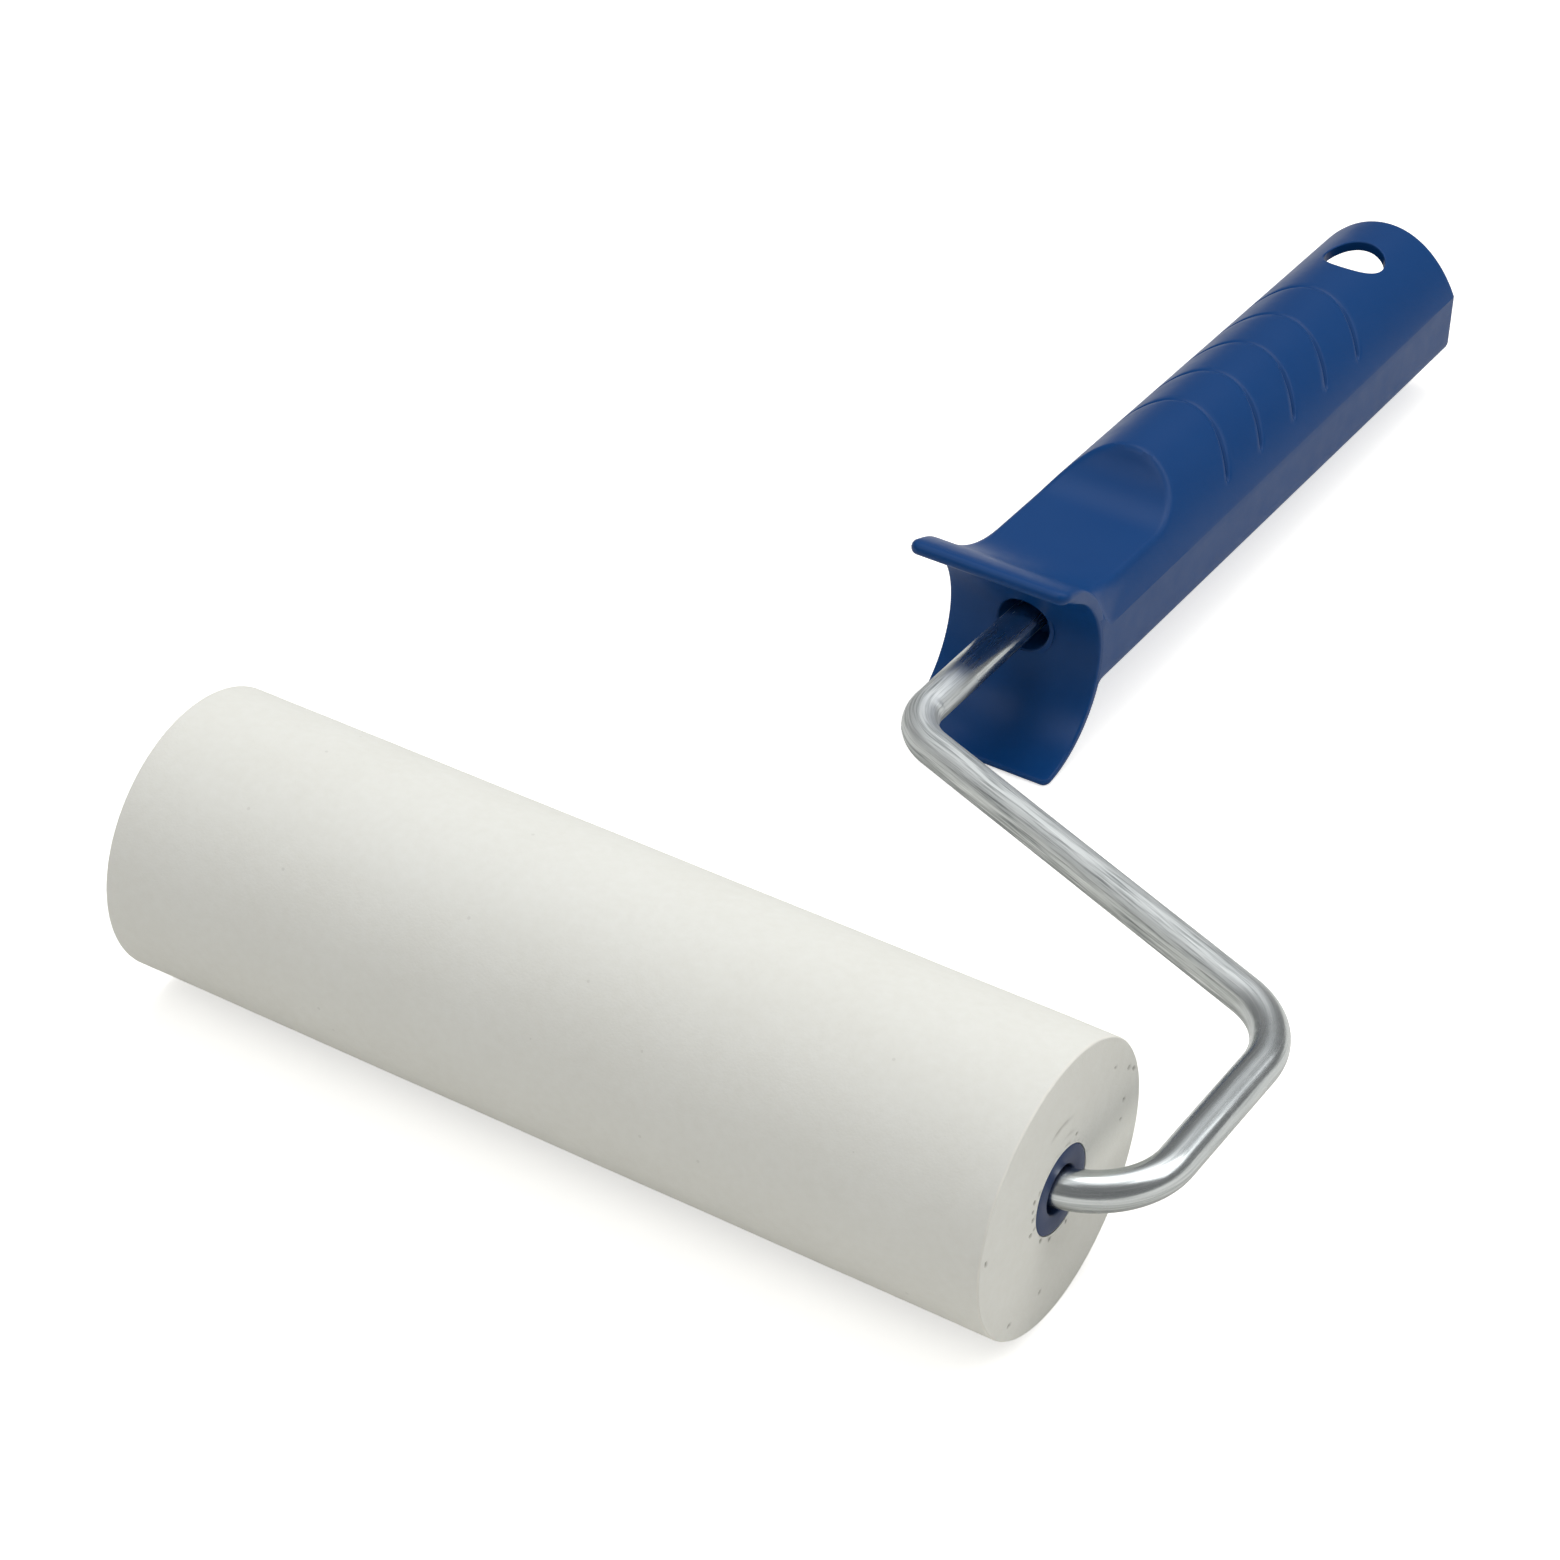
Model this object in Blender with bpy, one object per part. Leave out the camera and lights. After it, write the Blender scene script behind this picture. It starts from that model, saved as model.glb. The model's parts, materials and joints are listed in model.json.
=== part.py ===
"""Paint roller: a foam rubber sleeve turning on a bent wire frame with a moulded handle.

All sizes are in metres. The frame and the handle are drawn in one flat plane: x runs along the
axle, s runs square to it towards the handle's rear end, and n stands up from the plane. The plane
starts at the axle and tips down until the handle's drip guard touches the floor.
"""

import math

import bmesh
import bpy
from mathutils import Vector

# Roller
SLEEVE_DIAMETER = 0.045
SLEEVE_LENGTH = 0.149
SLEEVE_EDGE_ROUND = 0.0004
CORE_DIAMETER = 0.0138
CORE_WALL = 0.0014
BUSH_HEAD_LENGTH = 0.0030
BUSH_SPIGOT_LENGTH = 0.0140
FAR_BUSH_LENGTH = 0.0120
PLUG_HEAD_LENGTH = 0.0020
PLUG_SPIGOT_LENGTH = 0.0035
PLUG_SPIGOT_WALL = 0.0012
WASHER_THICKNESS = 0.0008
WASHER_RIM = 0.0016
CLIP_HEIGHT = 0.0014
CLIP_SHEET = 0.0006
CLIP_TOOTH_LENGTH = 0.0008
CLIP_TEETH = 6
AXLE_STANDOUT = 0.0015
AXLE_END_FLOAT = 0.0010

# Clearances
FIT_GAP = 0.0003
RUNNING_GAP = 0.0003

# Wire frame, with bend radii on the wire's centre line
WIRE_DIAMETER = 0.0060
LEG_GAP = 0.0104
LEG_LENGTH = 0.0490
NECK_REACH = 0.0834
AXLE_BEND_RADIUS = 0.0140
KNEE_BEND_RADIUS = 0.0150
NECK_BEND_RADIUS = 0.0105
WIRE_TIP_CHAMFER = 0.0005
EAR_SPAN = 0.0080
EAR_THICKNESS = 0.0046
EAR_LENGTH = 0.0060
EAR_SETBACK = 0.0080

# Drip guard at the front of the handle
NECK_LENGTH = 0.0211
GUARD_DROP = 0.0018
SCOOP_RADIUS = 0.0165
GUARD_WALL = 0.0018
TOP_LIP_WALL = 0.0022
BOTTOM_LIP_WALL = 0.0011
TOP_LIP_ANGLE = math.radians(85)
BOTTOM_LIP_ANGLE = math.radians(86)
GUARD_WIDTH = 0.0284
GUARD_FOOT_WIDTH = 0.0281
LIP_LIFT = 0.0006
LIP_FLARE = 0.0004
LIP_CORNER = 0.0020
FOOT_CORNER = 0.0015
GUARD_FILLET = 0.0030

# Grip
GRIP_LENGTH = 0.1334
GRIP_WIDTH_FRONT = 0.0282
GRIP_WIDTH_REAR = 0.0283
CREST_FRONT = 0.0160
CREST_REAR = 0.0142
PARTING_FRONT = 0.0005
PARTING_REAR = 0.0023
GRIP_DEPTH_FRONT = 0.0084
GRIP_DEPTH_REAR = 0.0079
CROWN_SINK = 0.0022
GRIP_CORNER = 0.0020
GRIP_WALL = 0.0018

# Thumb rest
THUMB_FLOOR = 0.0083
THUMB_LENGTH = 0.0233
THUMB_REAR_RADIUS = 0.0120
THUMB_FRONT_RADIUS = 0.0090

# Grip grooves
GROOVE_COUNT = 5
GROOVE_START = 0.0536
GROOVE_PITCH = 0.01235
GROOVE_LEAN = 0.78
GROOVE_RADIUS = 0.0006
GROOVE_LIFT = 0.0002
GROOVE_REACH = 0.0123

# Hang hole and wire socket
HANG_HOLE_DIAMETER = 0.0110
HANG_HOLE_INSET = 0.0146
BOSS_WALL = 0.0010
BOSS_LENGTH = 0.0460
MOUTH_GAP = 0.0017
MOUTH_DEPTH = 0.0060
MOUTH_DROP = 0.0008
COLLAR_RISE = 0.0004
WEB_THICKNESS = 0.0016
WEB_SETBACK = 0.0040

# Fineness of the round shapes
SLEEVE_SIDES = 72
TURNED_SIDES = 36
WIRE_SIDES = 20
BEND_STEP = math.radians(10)
CROWN_STEPS = 24
CORNER_STEPS = 4
GUARD_STEPS = 22
LIP_STEPS = 5
GROOVE_STEPS = 16
GROOVE_SIDES = 6
FILLET_STEPS = 6
SCOOP_SIDES = 96
TOOTH_STEPS = 4
# A rounded corner of the guard stops short of a full quarter turn, so that its end has some width
CORNER_TURN = math.radians(80)

# Room that a cutter reaches past the face that it cuts
OVERCUT = 0.0030
# The guard plate starts this far inside the scoop, which then trims it
PLATE_ROOT = 0.0015

# Places that follow from the sizes above
SLEEVE_RADIUS = SLEEVE_DIAMETER / 2
CORE_RADIUS = CORE_DIAMETER / 2
CORE_BORE_RADIUS = CORE_RADIUS - CORE_WALL
SPIGOT_RADIUS = CORE_BORE_RADIUS - FIT_GAP
WIRE_RADIUS = WIRE_DIAMETER / 2
BEARING_RADIUS = WIRE_RADIUS + RUNNING_GAP
SOCKET_RADIUS = WIRE_RADIUS + FIT_GAP
NEAR_FACE_X = SLEEVE_LENGTH / 2
FAR_FACE_X = -SLEEVE_LENGTH / 2
AXLE_END_X = FAR_FACE_X + PLUG_HEAD_LENGTH + PLUG_SPIGOT_LENGTH + AXLE_END_FLOAT
CLIP_X = AXLE_END_X + AXLE_STANDOUT
WASHER_X = CLIP_X + CLIP_HEIGHT + FIT_GAP
FAR_BUSH_X = WASHER_X + WASHER_THICKNESS + RUNNING_GAP
LEG_X = NEAR_FACE_X + LEG_GAP
BEND_INSIDE_BUSH = max(0.0, AXLE_BEND_RADIUS - LEG_GAP)
BEND_SWAY = AXLE_BEND_RADIUS - math.sqrt(AXLE_BEND_RADIUS**2 - BEND_INSIDE_BUSH**2)
BUSH_MOUTH_RADIUS = BEARING_RADIUS + BEND_SWAY
BUSH_MOUTH_DEPTH = BEND_INSIDE_BUSH + RUNNING_GAP
GUARD_S = NECK_REACH + NECK_LENGTH
SCOOP_FLOOR_S = GUARD_S + SCOOP_RADIUS
REAR_S = SCOOP_FLOOR_S + GRIP_LENGTH
BOSS_END_S = SCOOP_FLOOR_S + BOSS_LENGTH
MOUTH_RADIUS = WIRE_RADIUS + MOUTH_GAP
BOSS_RADIUS = MOUTH_RADIUS + BOSS_WALL
TAIL_END_S = BOSS_END_S - FIT_GAP
GUARD_BACK_RADIUS = SCOOP_RADIUS + GUARD_WALL
THUMB_END_S = SCOOP_FLOOR_S + THUMB_LENGTH
FOOT_RADIUS = SCOOP_RADIUS + BOTTOM_LIP_WALL
FOOT_S = GUARD_S + FOOT_RADIUS * math.cos(BOTTOM_LIP_ANGLE)
FOOT_DEPTH = GUARD_DROP + FOOT_RADIUS * math.sin(BOTTOM_LIP_ANGLE)

# The plane tips down about the axle until the guard's foot is on the floor
PITCH = math.asin(SLEEVE_RADIUS / math.hypot(FOOT_S, FOOT_DEPTH)) - math.atan2(FOOT_DEPTH, FOOT_S)

# The origin is on the floor, in the middle of the outline seen from above
REAR_Y = REAR_S * math.cos(PITCH) + CREST_REAR * math.sin(PITCH)
AXLE_PLACE = (
    -(LEG_X + WIRE_RADIUS + FAR_FACE_X) / 2,
    -(REAR_Y - SLEEVE_RADIUS) / 2,
    SLEEVE_RADIUS,
)


def clear_scene():
    """Removes every object of the open scene."""
    for obj in list(bpy.data.objects):
        bpy.data.objects.remove(obj, do_unlink=True)


def make_material(name, colour, roughness, metallic=0.0):
    """A Principled material with one colour."""
    material = bpy.data.materials.new(name)
    material.use_nodes = True
    shader = material.node_tree.nodes["Principled BSDF"]
    shader.inputs["Base Color"].default_value = (*colour, 1.0)
    shader.inputs["Roughness"].default_value = roughness
    shader.inputs["Metallic"].default_value = metallic
    return material


def foam_material():
    """Warm off-white foam rubber."""
    return make_material("foam_rubber", (0.78, 0.78, 0.73), 0.9)


def blue_plastic(name):
    """Blue moulded polypropylene."""
    return make_material(name, (0.020, 0.068, 0.225), 0.45)


def core_plastic():
    """Plain grey tube plastic, hidden under the foam."""
    return make_material("core_plastic", (0.32, 0.33, 0.34), 0.6)


def zinc_wire():
    """Bright zinc-plated drawn wire."""
    return make_material("zinc_wire", (0.62, 0.64, 0.65), 0.3, 1.0)


def spring_steel(name):
    """Darker steel of the small stamped pieces."""
    return make_material(name, (0.42, 0.42, 0.43), 0.35, 1.0)


def make_empty(name, place, tilt=0.0):
    """An empty that places a group of pieces."""
    empty = bpy.data.objects.new(name, None)
    empty.location = place
    empty.rotation_euler = (tilt, 0.0, 0.0)
    bpy.context.scene.collection.objects.link(empty)
    return empty


def add_object(name, bm, parent, material=None, smooth_angle=math.radians(35)):
    """Makes a mesh object of bm. With no material it is a hidden cutter."""
    bmesh.ops.recalc_face_normals(bm, faces=bm.faces)
    mesh = bpy.data.meshes.new(name)
    bm.to_mesh(mesh)
    bm.free()
    obj = bpy.data.objects.new(name, mesh)
    bpy.context.scene.collection.objects.link(obj)
    obj.parent = parent
    if material is None:
        obj.hide_render = True
        obj.display_type = "WIRE"
    else:
        mesh.materials.append(material)
        mesh.shade_smooth()
        mesh.set_sharp_from_angle(angle=smooth_angle)
    return obj


def combine(target, other, operation):
    """Adds a live Boolean to target."""
    modifier = target.modifiers.new(f"{operation.lower()}_{other.name}", "BOOLEAN")
    modifier.operation = operation
    modifier.object = other
    modifier.solver = "EXACT"


def arc(centre, radius, start, end, steps):
    """Points of a circle arc, both ends included, as (first, second) pairs."""
    points = []
    for step in range(steps + 1):
        angle = start + (end - start) * step / steps
        points.append((centre[0] + radius * math.cos(angle), centre[1] + radius * math.sin(angle)))
    return points


def turned(profile, sides):
    """A bmesh turned about the x axis from a closed profile of (x, radius) pairs."""
    bm = bmesh.new()
    loop = [bm.verts.new((x, 0.0, radius)) for x, radius in profile]
    for vert, following in zip(loop, loop[1:] + loop[:1]):
        # An edge that lies on the axis would turn into nothing
        if vert.co.z > 0 or following.co.z > 0:
            bm.edges.new((vert, following))
    bmesh.ops.spin(
        bm,
        geom=bm.verts[:] + bm.edges[:],
        cent=(0.0, 0.0, 0.0),
        axis=(1.0, 0.0, 0.0),
        angle=2 * math.pi,
        steps=sides,
        use_merge=True,
    )
    bmesh.ops.remove_doubles(bm, verts=bm.verts, dist=1e-7)
    return bm


def skin(rings, bm=None):
    """Joins rings of equal point counts into one closed tube with capped ends."""
    bm = bm or bmesh.new()
    loops = [[bm.verts.new(point) for point in ring] for ring in rings]
    for first, second in zip(loops, loops[1:]):
        for index in range(len(first)):
            after = (index + 1) % len(first)
            bm.faces.new((first[index], first[after], second[after], second[index]))
    bm.faces.new(loops[0][::-1])
    bm.faces.new(loops[-1])
    return bm


def extruded(outline, half_width):
    """A bmesh of an (s, n) outline carried across x from -half_width to +half_width."""
    return skin([[(x, s, n) for s, n in outline] for x in (-half_width, half_width)])


def drum(centre, radius, axis, start, end, sides):
    """A bmesh cylinder about the line through centre along axis, from start to end on that line."""
    across = axis.orthogonal().normalized()
    other = axis.cross(across)
    rings = []
    for place in (start, end):
        ring = []
        for index in range(sides):
            angle = 2 * math.pi * index / sides
            spoke = across * math.cos(angle) + other * math.sin(angle)
            ring.append(centre + axis * place + spoke * radius)
        rings.append(ring)
    return skin(rings)


def build_sleeve(parent):
    """The foam sleeve: a plain tube with softly broken rims."""
    bore = CORE_RADIUS + FIT_GAP
    soft = SLEEVE_EDGE_ROUND
    near = arc((NEAR_FACE_X - soft, SLEEVE_RADIUS - soft), soft, 0.0, math.pi / 2, CORNER_STEPS)
    far = arc((FAR_FACE_X + soft, SLEEVE_RADIUS - soft), soft, math.pi / 2, math.pi, CORNER_STEPS)
    profile = [(NEAR_FACE_X, bore), *near, *far, (FAR_FACE_X, bore)]
    return add_object("foam_sleeve", turned(profile, SLEEVE_SIDES), parent, foam_material())


def build_core_tube(parent):
    """The tube that the foam is bonded to, between the near bush's head and the end plug's head."""
    near = NEAR_FACE_X - BUSH_HEAD_LENGTH - FIT_GAP
    far = FAR_FACE_X + PLUG_HEAD_LENGTH + FIT_GAP
    profile = [(near, CORE_BORE_RADIUS), (near, CORE_RADIUS), (far, CORE_RADIUS), (far, CORE_BORE_RADIUS)]
    return add_object("core_tube", turned(profile, TURNED_SIDES), parent, core_plastic())


def build_near_bush(parent):
    """The near bearing: a head flush with the foam, a wide mouth for the bend, then the bore."""
    head = NEAR_FACE_X - BUSH_HEAD_LENGTH
    end = head - BUSH_SPIGOT_LENGTH
    mouth = NEAR_FACE_X - BUSH_MOUTH_DEPTH
    profile = [
        (NEAR_FACE_X, BUSH_MOUTH_RADIUS),
        (NEAR_FACE_X, CORE_RADIUS),
        (head, CORE_RADIUS),
        (head, SPIGOT_RADIUS),
        (end, SPIGOT_RADIUS),
        (end, BEARING_RADIUS),
        (mouth, BEARING_RADIUS),
        (mouth, BUSH_MOUTH_RADIUS),
    ]
    return add_object("near_bush", turned(profile, TURNED_SIDES), parent, blue_plastic("near_bush_blue"))


def build_far_bush(parent):
    """The far bearing, pressed into the core just inside the washer."""
    near = FAR_BUSH_X + FAR_BUSH_LENGTH
    profile = [
        (near, BEARING_RADIUS),
        (near, SPIGOT_RADIUS),
        (FAR_BUSH_X, SPIGOT_RADIUS),
        (FAR_BUSH_X, BEARING_RADIUS),
    ]
    return add_object("far_bush", turned(profile, TURNED_SIDES), parent, blue_plastic("far_bush_blue"))


def build_end_plug(parent):
    """The cup-shaped plug that closes the core at the far face."""
    head = FAR_FACE_X + PLUG_HEAD_LENGTH
    end = head + PLUG_SPIGOT_LENGTH
    inner = SPIGOT_RADIUS - PLUG_SPIGOT_WALL
    profile = [
        (head, 0.0),
        (head, inner),
        (end, inner),
        (end, SPIGOT_RADIUS),
        (head, SPIGOT_RADIUS),
        (head, CORE_RADIUS),
        (FAR_FACE_X, CORE_RADIUS),
        (FAR_FACE_X, 0.0),
    ]
    return add_object("end_plug", turned(profile, TURNED_SIDES), parent, blue_plastic("end_plug_blue"))


def build_washer(parent):
    """The thrust washer between the turning far bush and the clip."""
    near = WASHER_X + WASHER_THICKNESS
    outer = SOCKET_RADIUS + WASHER_RIM
    profile = [(near, SOCKET_RADIUS), (near, outer), (WASHER_X, outer), (WASHER_X, SOCKET_RADIUS)]
    return add_object("thrust_washer", turned(profile, TURNED_SIDES), parent, spring_steel("washer_steel"))


def build_clip(parent):
    """The push-on clip: a ring whose toothed centre leans out to bite the axle."""
    steps = CLIP_TEETH * TOOTH_STEPS
    outer = SOCKET_RADIUS + WASHER_RIM
    base = CLIP_X + CLIP_HEIGHT
    lean = CLIP_HEIGHT - CLIP_SHEET
    rings = []
    for share, x in ((0, base), (1, base - lean), (1, base - lean - CLIP_SHEET), (0, base - CLIP_SHEET)):
        ring = []
        for index in range(steps):
            angle = 2 * math.pi * index / steps
            slot = CLIP_TOOTH_LENGTH if index % TOOTH_STEPS == 0 else 0.0
            radius = SOCKET_RADIUS + slot if share else outer
            ring.append(Vector((x, radius * math.cos(angle), radius * math.sin(angle))))
        rings.append(ring)
    bm = bmesh.new()
    loops = [[bm.verts.new(point) for point in ring] for ring in rings]
    for loop, following in zip(loops, loops[1:] + loops[:1]):
        for index in range(steps):
            after = (index + 1) % steps
            bm.faces.new((loop[index], loop[after], following[after], following[index]))
    return add_object("axle_clip", bm, parent, spring_steel("clip_steel"))


def bent_path(corners, radii):
    """Rounds the corners of a flat path, and returns its points and directions."""
    points = [corners[0]]
    ways = [(corners[1] - corners[0]).normalized()]
    for before, corner, after, radius in zip(corners, corners[1:], corners[2:], radii):
        inward = (corner - before).normalized()
        outward = (after - corner).normalized()
        turn = inward.angle(outward)
        tangent = radius * math.tan(turn / 2)
        side = (outward - inward * inward.dot(outward)).normalized()
        start = corner - inward * tangent
        steps = math.ceil(turn / BEND_STEP)
        for step in range(steps + 1):
            angle = turn * step / steps
            points.append(start + inward * radius * math.sin(angle) + side * radius * (1 - math.cos(angle)))
            ways.append(inward * math.cos(angle) + side * math.sin(angle))
    points.append(corners[-1])
    ways.append((corners[-1] - corners[-2]).normalized())
    return points, ways


def oval(centre, way, flat_half, tall_half):
    """One ring of the wire: flat_half in the frame's plane, tall_half out of it."""
    up = Vector((0.0, 0.0, 1.0))
    across = way.cross(up)
    ring = []
    for index in range(WIRE_SIDES):
        angle = 2 * math.pi * index / WIRE_SIDES
        ring.append(centre + across * flat_half * math.cos(angle) + up * tall_half * math.sin(angle))
    return ring


def tail_sections(gap, ear_tall):
    """The tail's rings as (s, flat half, tall half), from the mouth's end to the wire's end."""
    round_half = WIRE_RADIUS + gap
    ear_half = EAR_SPAN / 2 + gap
    ear_end = TAIL_END_S - EAR_SETBACK
    ear_start = ear_end - EAR_LENGTH
    slope = EAR_SPAN / 2 - WIRE_RADIUS
    return [
        (ear_start - slope - gap, round_half, round_half),
        (ear_start - gap, ear_half, ear_tall),
        (ear_end + gap, ear_half, ear_tall),
        (ear_end + slope + gap, round_half, round_half),
    ]


def build_wire(parent):
    """The frame: one rod bent from the axle round to the handle, with ears pinched into its tail."""
    corners = [
        Vector((AXLE_END_X, 0.0, 0.0)),
        Vector((LEG_X, 0.0, 0.0)),
        Vector((LEG_X, LEG_LENGTH, 0.0)),
        Vector((0.0, NECK_REACH, 0.0)),
        Vector((0.0, TAIL_END_S, 0.0)),
    ]
    points, ways = bent_path(corners, (AXLE_BEND_RADIUS, KNEE_BEND_RADIUS, NECK_BEND_RADIUS))
    tip = WIRE_RADIUS - WIRE_TIP_CHAMFER
    rings = [oval(points[0], ways[0], tip, tip)]
    rings.append(oval(points[0] + ways[0] * WIRE_TIP_CHAMFER, ways[0], WIRE_RADIUS, WIRE_RADIUS))
    for point, way in zip(points[1:-1], ways[1:-1]):
        rings.append(oval(point, way, WIRE_RADIUS, WIRE_RADIUS))
    for s, flat_half, tall_half in tail_sections(0.0, EAR_THICKNESS / 2):
        rings.append(oval(Vector((0.0, s, 0.0)), ways[-1], flat_half, tall_half))
    rings.append(oval(points[-1] - ways[-1] * WIRE_TIP_CHAMFER, ways[-1], WIRE_RADIUS, WIRE_RADIUS))
    rings.append(oval(points[-1], ways[-1], tip, tip))
    return add_object("wire_frame", skin(rings), parent, zinc_wire())


def along_grip(s, front, rear):
    """A size that runs evenly from the scoop's floor to the rear end."""
    return front + (rear - front) * (s - SCOOP_FLOOR_S) / GRIP_LENGTH


def crown_shape(s, inset):
    """The crown's ellipse at s: its half width, half height, centre height and starting angle."""
    half = along_grip(s, GRIP_WIDTH_FRONT, GRIP_WIDTH_REAR) / 2 - inset
    parting = along_grip(s, PARTING_FRONT, PARTING_REAR)
    crest = along_grip(s, CREST_FRONT, CREST_REAR) - inset
    tall = crest - parting + CROWN_SINK
    wide = half / math.sqrt(1 - (CROWN_SINK / tall) ** 2)
    return wide, tall, parting - CROWN_SINK, math.asin(CROWN_SINK / tall)


def grip_ring(s, depth, inset=0.0):
    """One closed section of the grip: crowned top, straight side walls and rounded bottom corners."""
    half = along_grip(s, GRIP_WIDTH_FRONT, GRIP_WIDTH_REAR) / 2 - inset
    wide, tall, centre, start = crown_shape(s, inset)
    outline = []
    for step in range(CROWN_STEPS + 1):
        angle = start + (math.pi - 2 * start) * step / CROWN_STEPS
        outline.append((wide * math.cos(angle), centre + tall * math.sin(angle)))
    low = inset - depth
    corner = max(GRIP_CORNER - inset, GRIP_CORNER / 4)
    outline += arc((corner - half, low + corner), corner, math.pi, 1.5 * math.pi, CORNER_STEPS)
    outline += arc((half - corner, low + corner), corner, 1.5 * math.pi, 2 * math.pi, CORNER_STEPS)
    return [(x, s, n) for x, n in outline]


def grip_depth(s):
    """How far the grip reaches below the wire's axis."""
    return along_grip(s, GRIP_DEPTH_FRONT, GRIP_DEPTH_REAR)


def foot_fillet():
    """The fillet under the guard as (s, depth) pairs, from the guard's back to the grip's underside."""
    low = grip_depth(SCOOP_FLOOR_S) + GUARD_FILLET
    reach = GUARD_BACK_RADIUS + GUARD_FILLET
    centre_s = GUARD_S + math.sqrt(reach**2 - (low - GUARD_DROP) ** 2)
    start = math.asin((low - GUARD_DROP) / reach)
    return arc((centre_s, low), GUARD_FILLET, math.pi + start, 1.5 * math.pi, FILLET_STEPS)


def build_grip_body(parent):
    """The grip's solid, lofted from inside the scoop to the flat rear end."""
    fillet = foot_fillet()
    front_s = GUARD_S + SCOOP_RADIUS / 2
    rings = [grip_ring(front_s, fillet[0][1])]
    rings += [grip_ring(s, depth) for s, depth in fillet]
    rings.append(grip_ring(REAR_S, grip_depth(REAR_S)))
    return add_object("handle", skin(rings), parent, blue_plastic("handle_blue"))


def guard_sections():
    """The guard plate's sections as (angle, inner radius, outer radius, half width), foot to top lip."""
    sections = []
    root = SCOOP_RADIUS - PLATE_ROOT
    span = TOP_LIP_ANGLE + BOTTOM_LIP_ANGLE
    corner_turn = LIP_CORNER / SCOOP_RADIUS
    foot_turn = FOOT_CORNER / SCOOP_RADIUS
    for step in range(LIP_STEPS):
        share = CORNER_TURN * (1 - step / LIP_STEPS)
        half = GUARD_FOOT_WIDTH / 2 - FOOT_CORNER * (1 - math.cos(share))
        angle = foot_turn * (1 - math.sin(share)) - BOTTOM_LIP_ANGLE
        sections.append((angle, root, FOOT_RADIUS, half))
    for step in range(GUARD_STEPS + 1):
        angle = foot_turn - BOTTOM_LIP_ANGLE + (span - corner_turn - foot_turn) * step / GUARD_STEPS
        foot = max(0.0, -angle / (BOTTOM_LIP_ANGLE - foot_turn))
        head = max(0.0, angle / (TOP_LIP_ANGLE - corner_turn))
        lip_wall = TOP_LIP_WALL + LIP_LIFT
        wall = GUARD_WALL + (BOTTOM_LIP_WALL - GUARD_WALL) * foot**2 + (lip_wall - GUARD_WALL) * head**2
        half = (GUARD_WIDTH + (GUARD_FOOT_WIDTH - GUARD_WIDTH) * foot**2) / 2 + LIP_FLARE * head**4
        sections.append((angle, root, SCOOP_RADIUS + wall, half))
    bead = TOP_LIP_WALL / 2
    middle = SCOOP_RADIUS + LIP_LIFT + bead
    for step in range(1, LIP_STEPS + 1):
        share = CORNER_TURN * step / LIP_STEPS
        along = LIP_CORNER * math.sin(share)
        half = GUARD_WIDTH / 2 + LIP_FLARE - LIP_CORNER * (1 - math.cos(share))
        past = max(0.0, along - LIP_CORNER + bead)
        thin = math.sqrt(bead**2 - past**2)
        angle = TOP_LIP_ANGLE - (LIP_CORNER - along) / SCOOP_RADIUS
        sections.append((angle, middle - thin, middle + thin, half))
    return sections


def build_guard(parent):
    """The drip guard: a curved plate round the scoop, from the thin foot up to the thick top lip."""
    rings = []
    for angle, inner, outer, half in guard_sections():
        out_s, out_n = math.cos(angle), math.sin(angle)
        ring = []
        for radius, x in ((inner, -half), (outer, -half), (outer, half), (inner, half)):
            ring.append((x, GUARD_S + radius * out_s, radius * out_n - GUARD_DROP))
        rings.append(ring)
    return add_object("guard_plate", skin(rings), parent)


def build_scoop(parent):
    """The hollow front face, cut by one round bar across the guard."""
    centre = Vector((0.0, GUARD_S, -GUARD_DROP))
    reach = max(GUARD_WIDTH, GUARD_FOOT_WIDTH) / 2 + LIP_FLARE + OVERCUT
    bar = drum(centre, SCOOP_RADIUS, Vector((1.0, 0.0, 0.0)), -reach, reach, SCOOP_SIDES)
    return add_object("scoop", bar, parent)


def build_thumb_rest(parent):
    """The flat-floored thumb rest, filleted into the guard's back and run out to the rear."""
    soft = THUMB_FRONT_RADIUS
    reach = GUARD_BACK_RADIUS + soft
    rise = THUMB_FLOOR + soft + GUARD_DROP
    centre_s = GUARD_S + math.sqrt(reach**2 - rise**2)
    lean = math.asin(rise / reach)
    front = arc((centre_s, THUMB_FLOOR + soft), soft, math.pi + lean, 1.5 * math.pi, FILLET_STEPS)
    hinge = (THUMB_END_S, THUMB_FLOOR + THUMB_REAR_RADIUS)
    rear = arc(hinge, THUMB_REAR_RADIUS, -math.pi / 2, 0.0, 2 * FILLET_STEPS)
    sky = max(CREST_FRONT, hinge[1]) + OVERCUT
    outline = [(GUARD_S, front[0][1]), *front, *rear, (rear[-1][0], sky), (GUARD_S, sky)]
    return add_object("thumb_rest", extruded(outline, GRIP_WIDTH_FRONT), parent)


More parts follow.
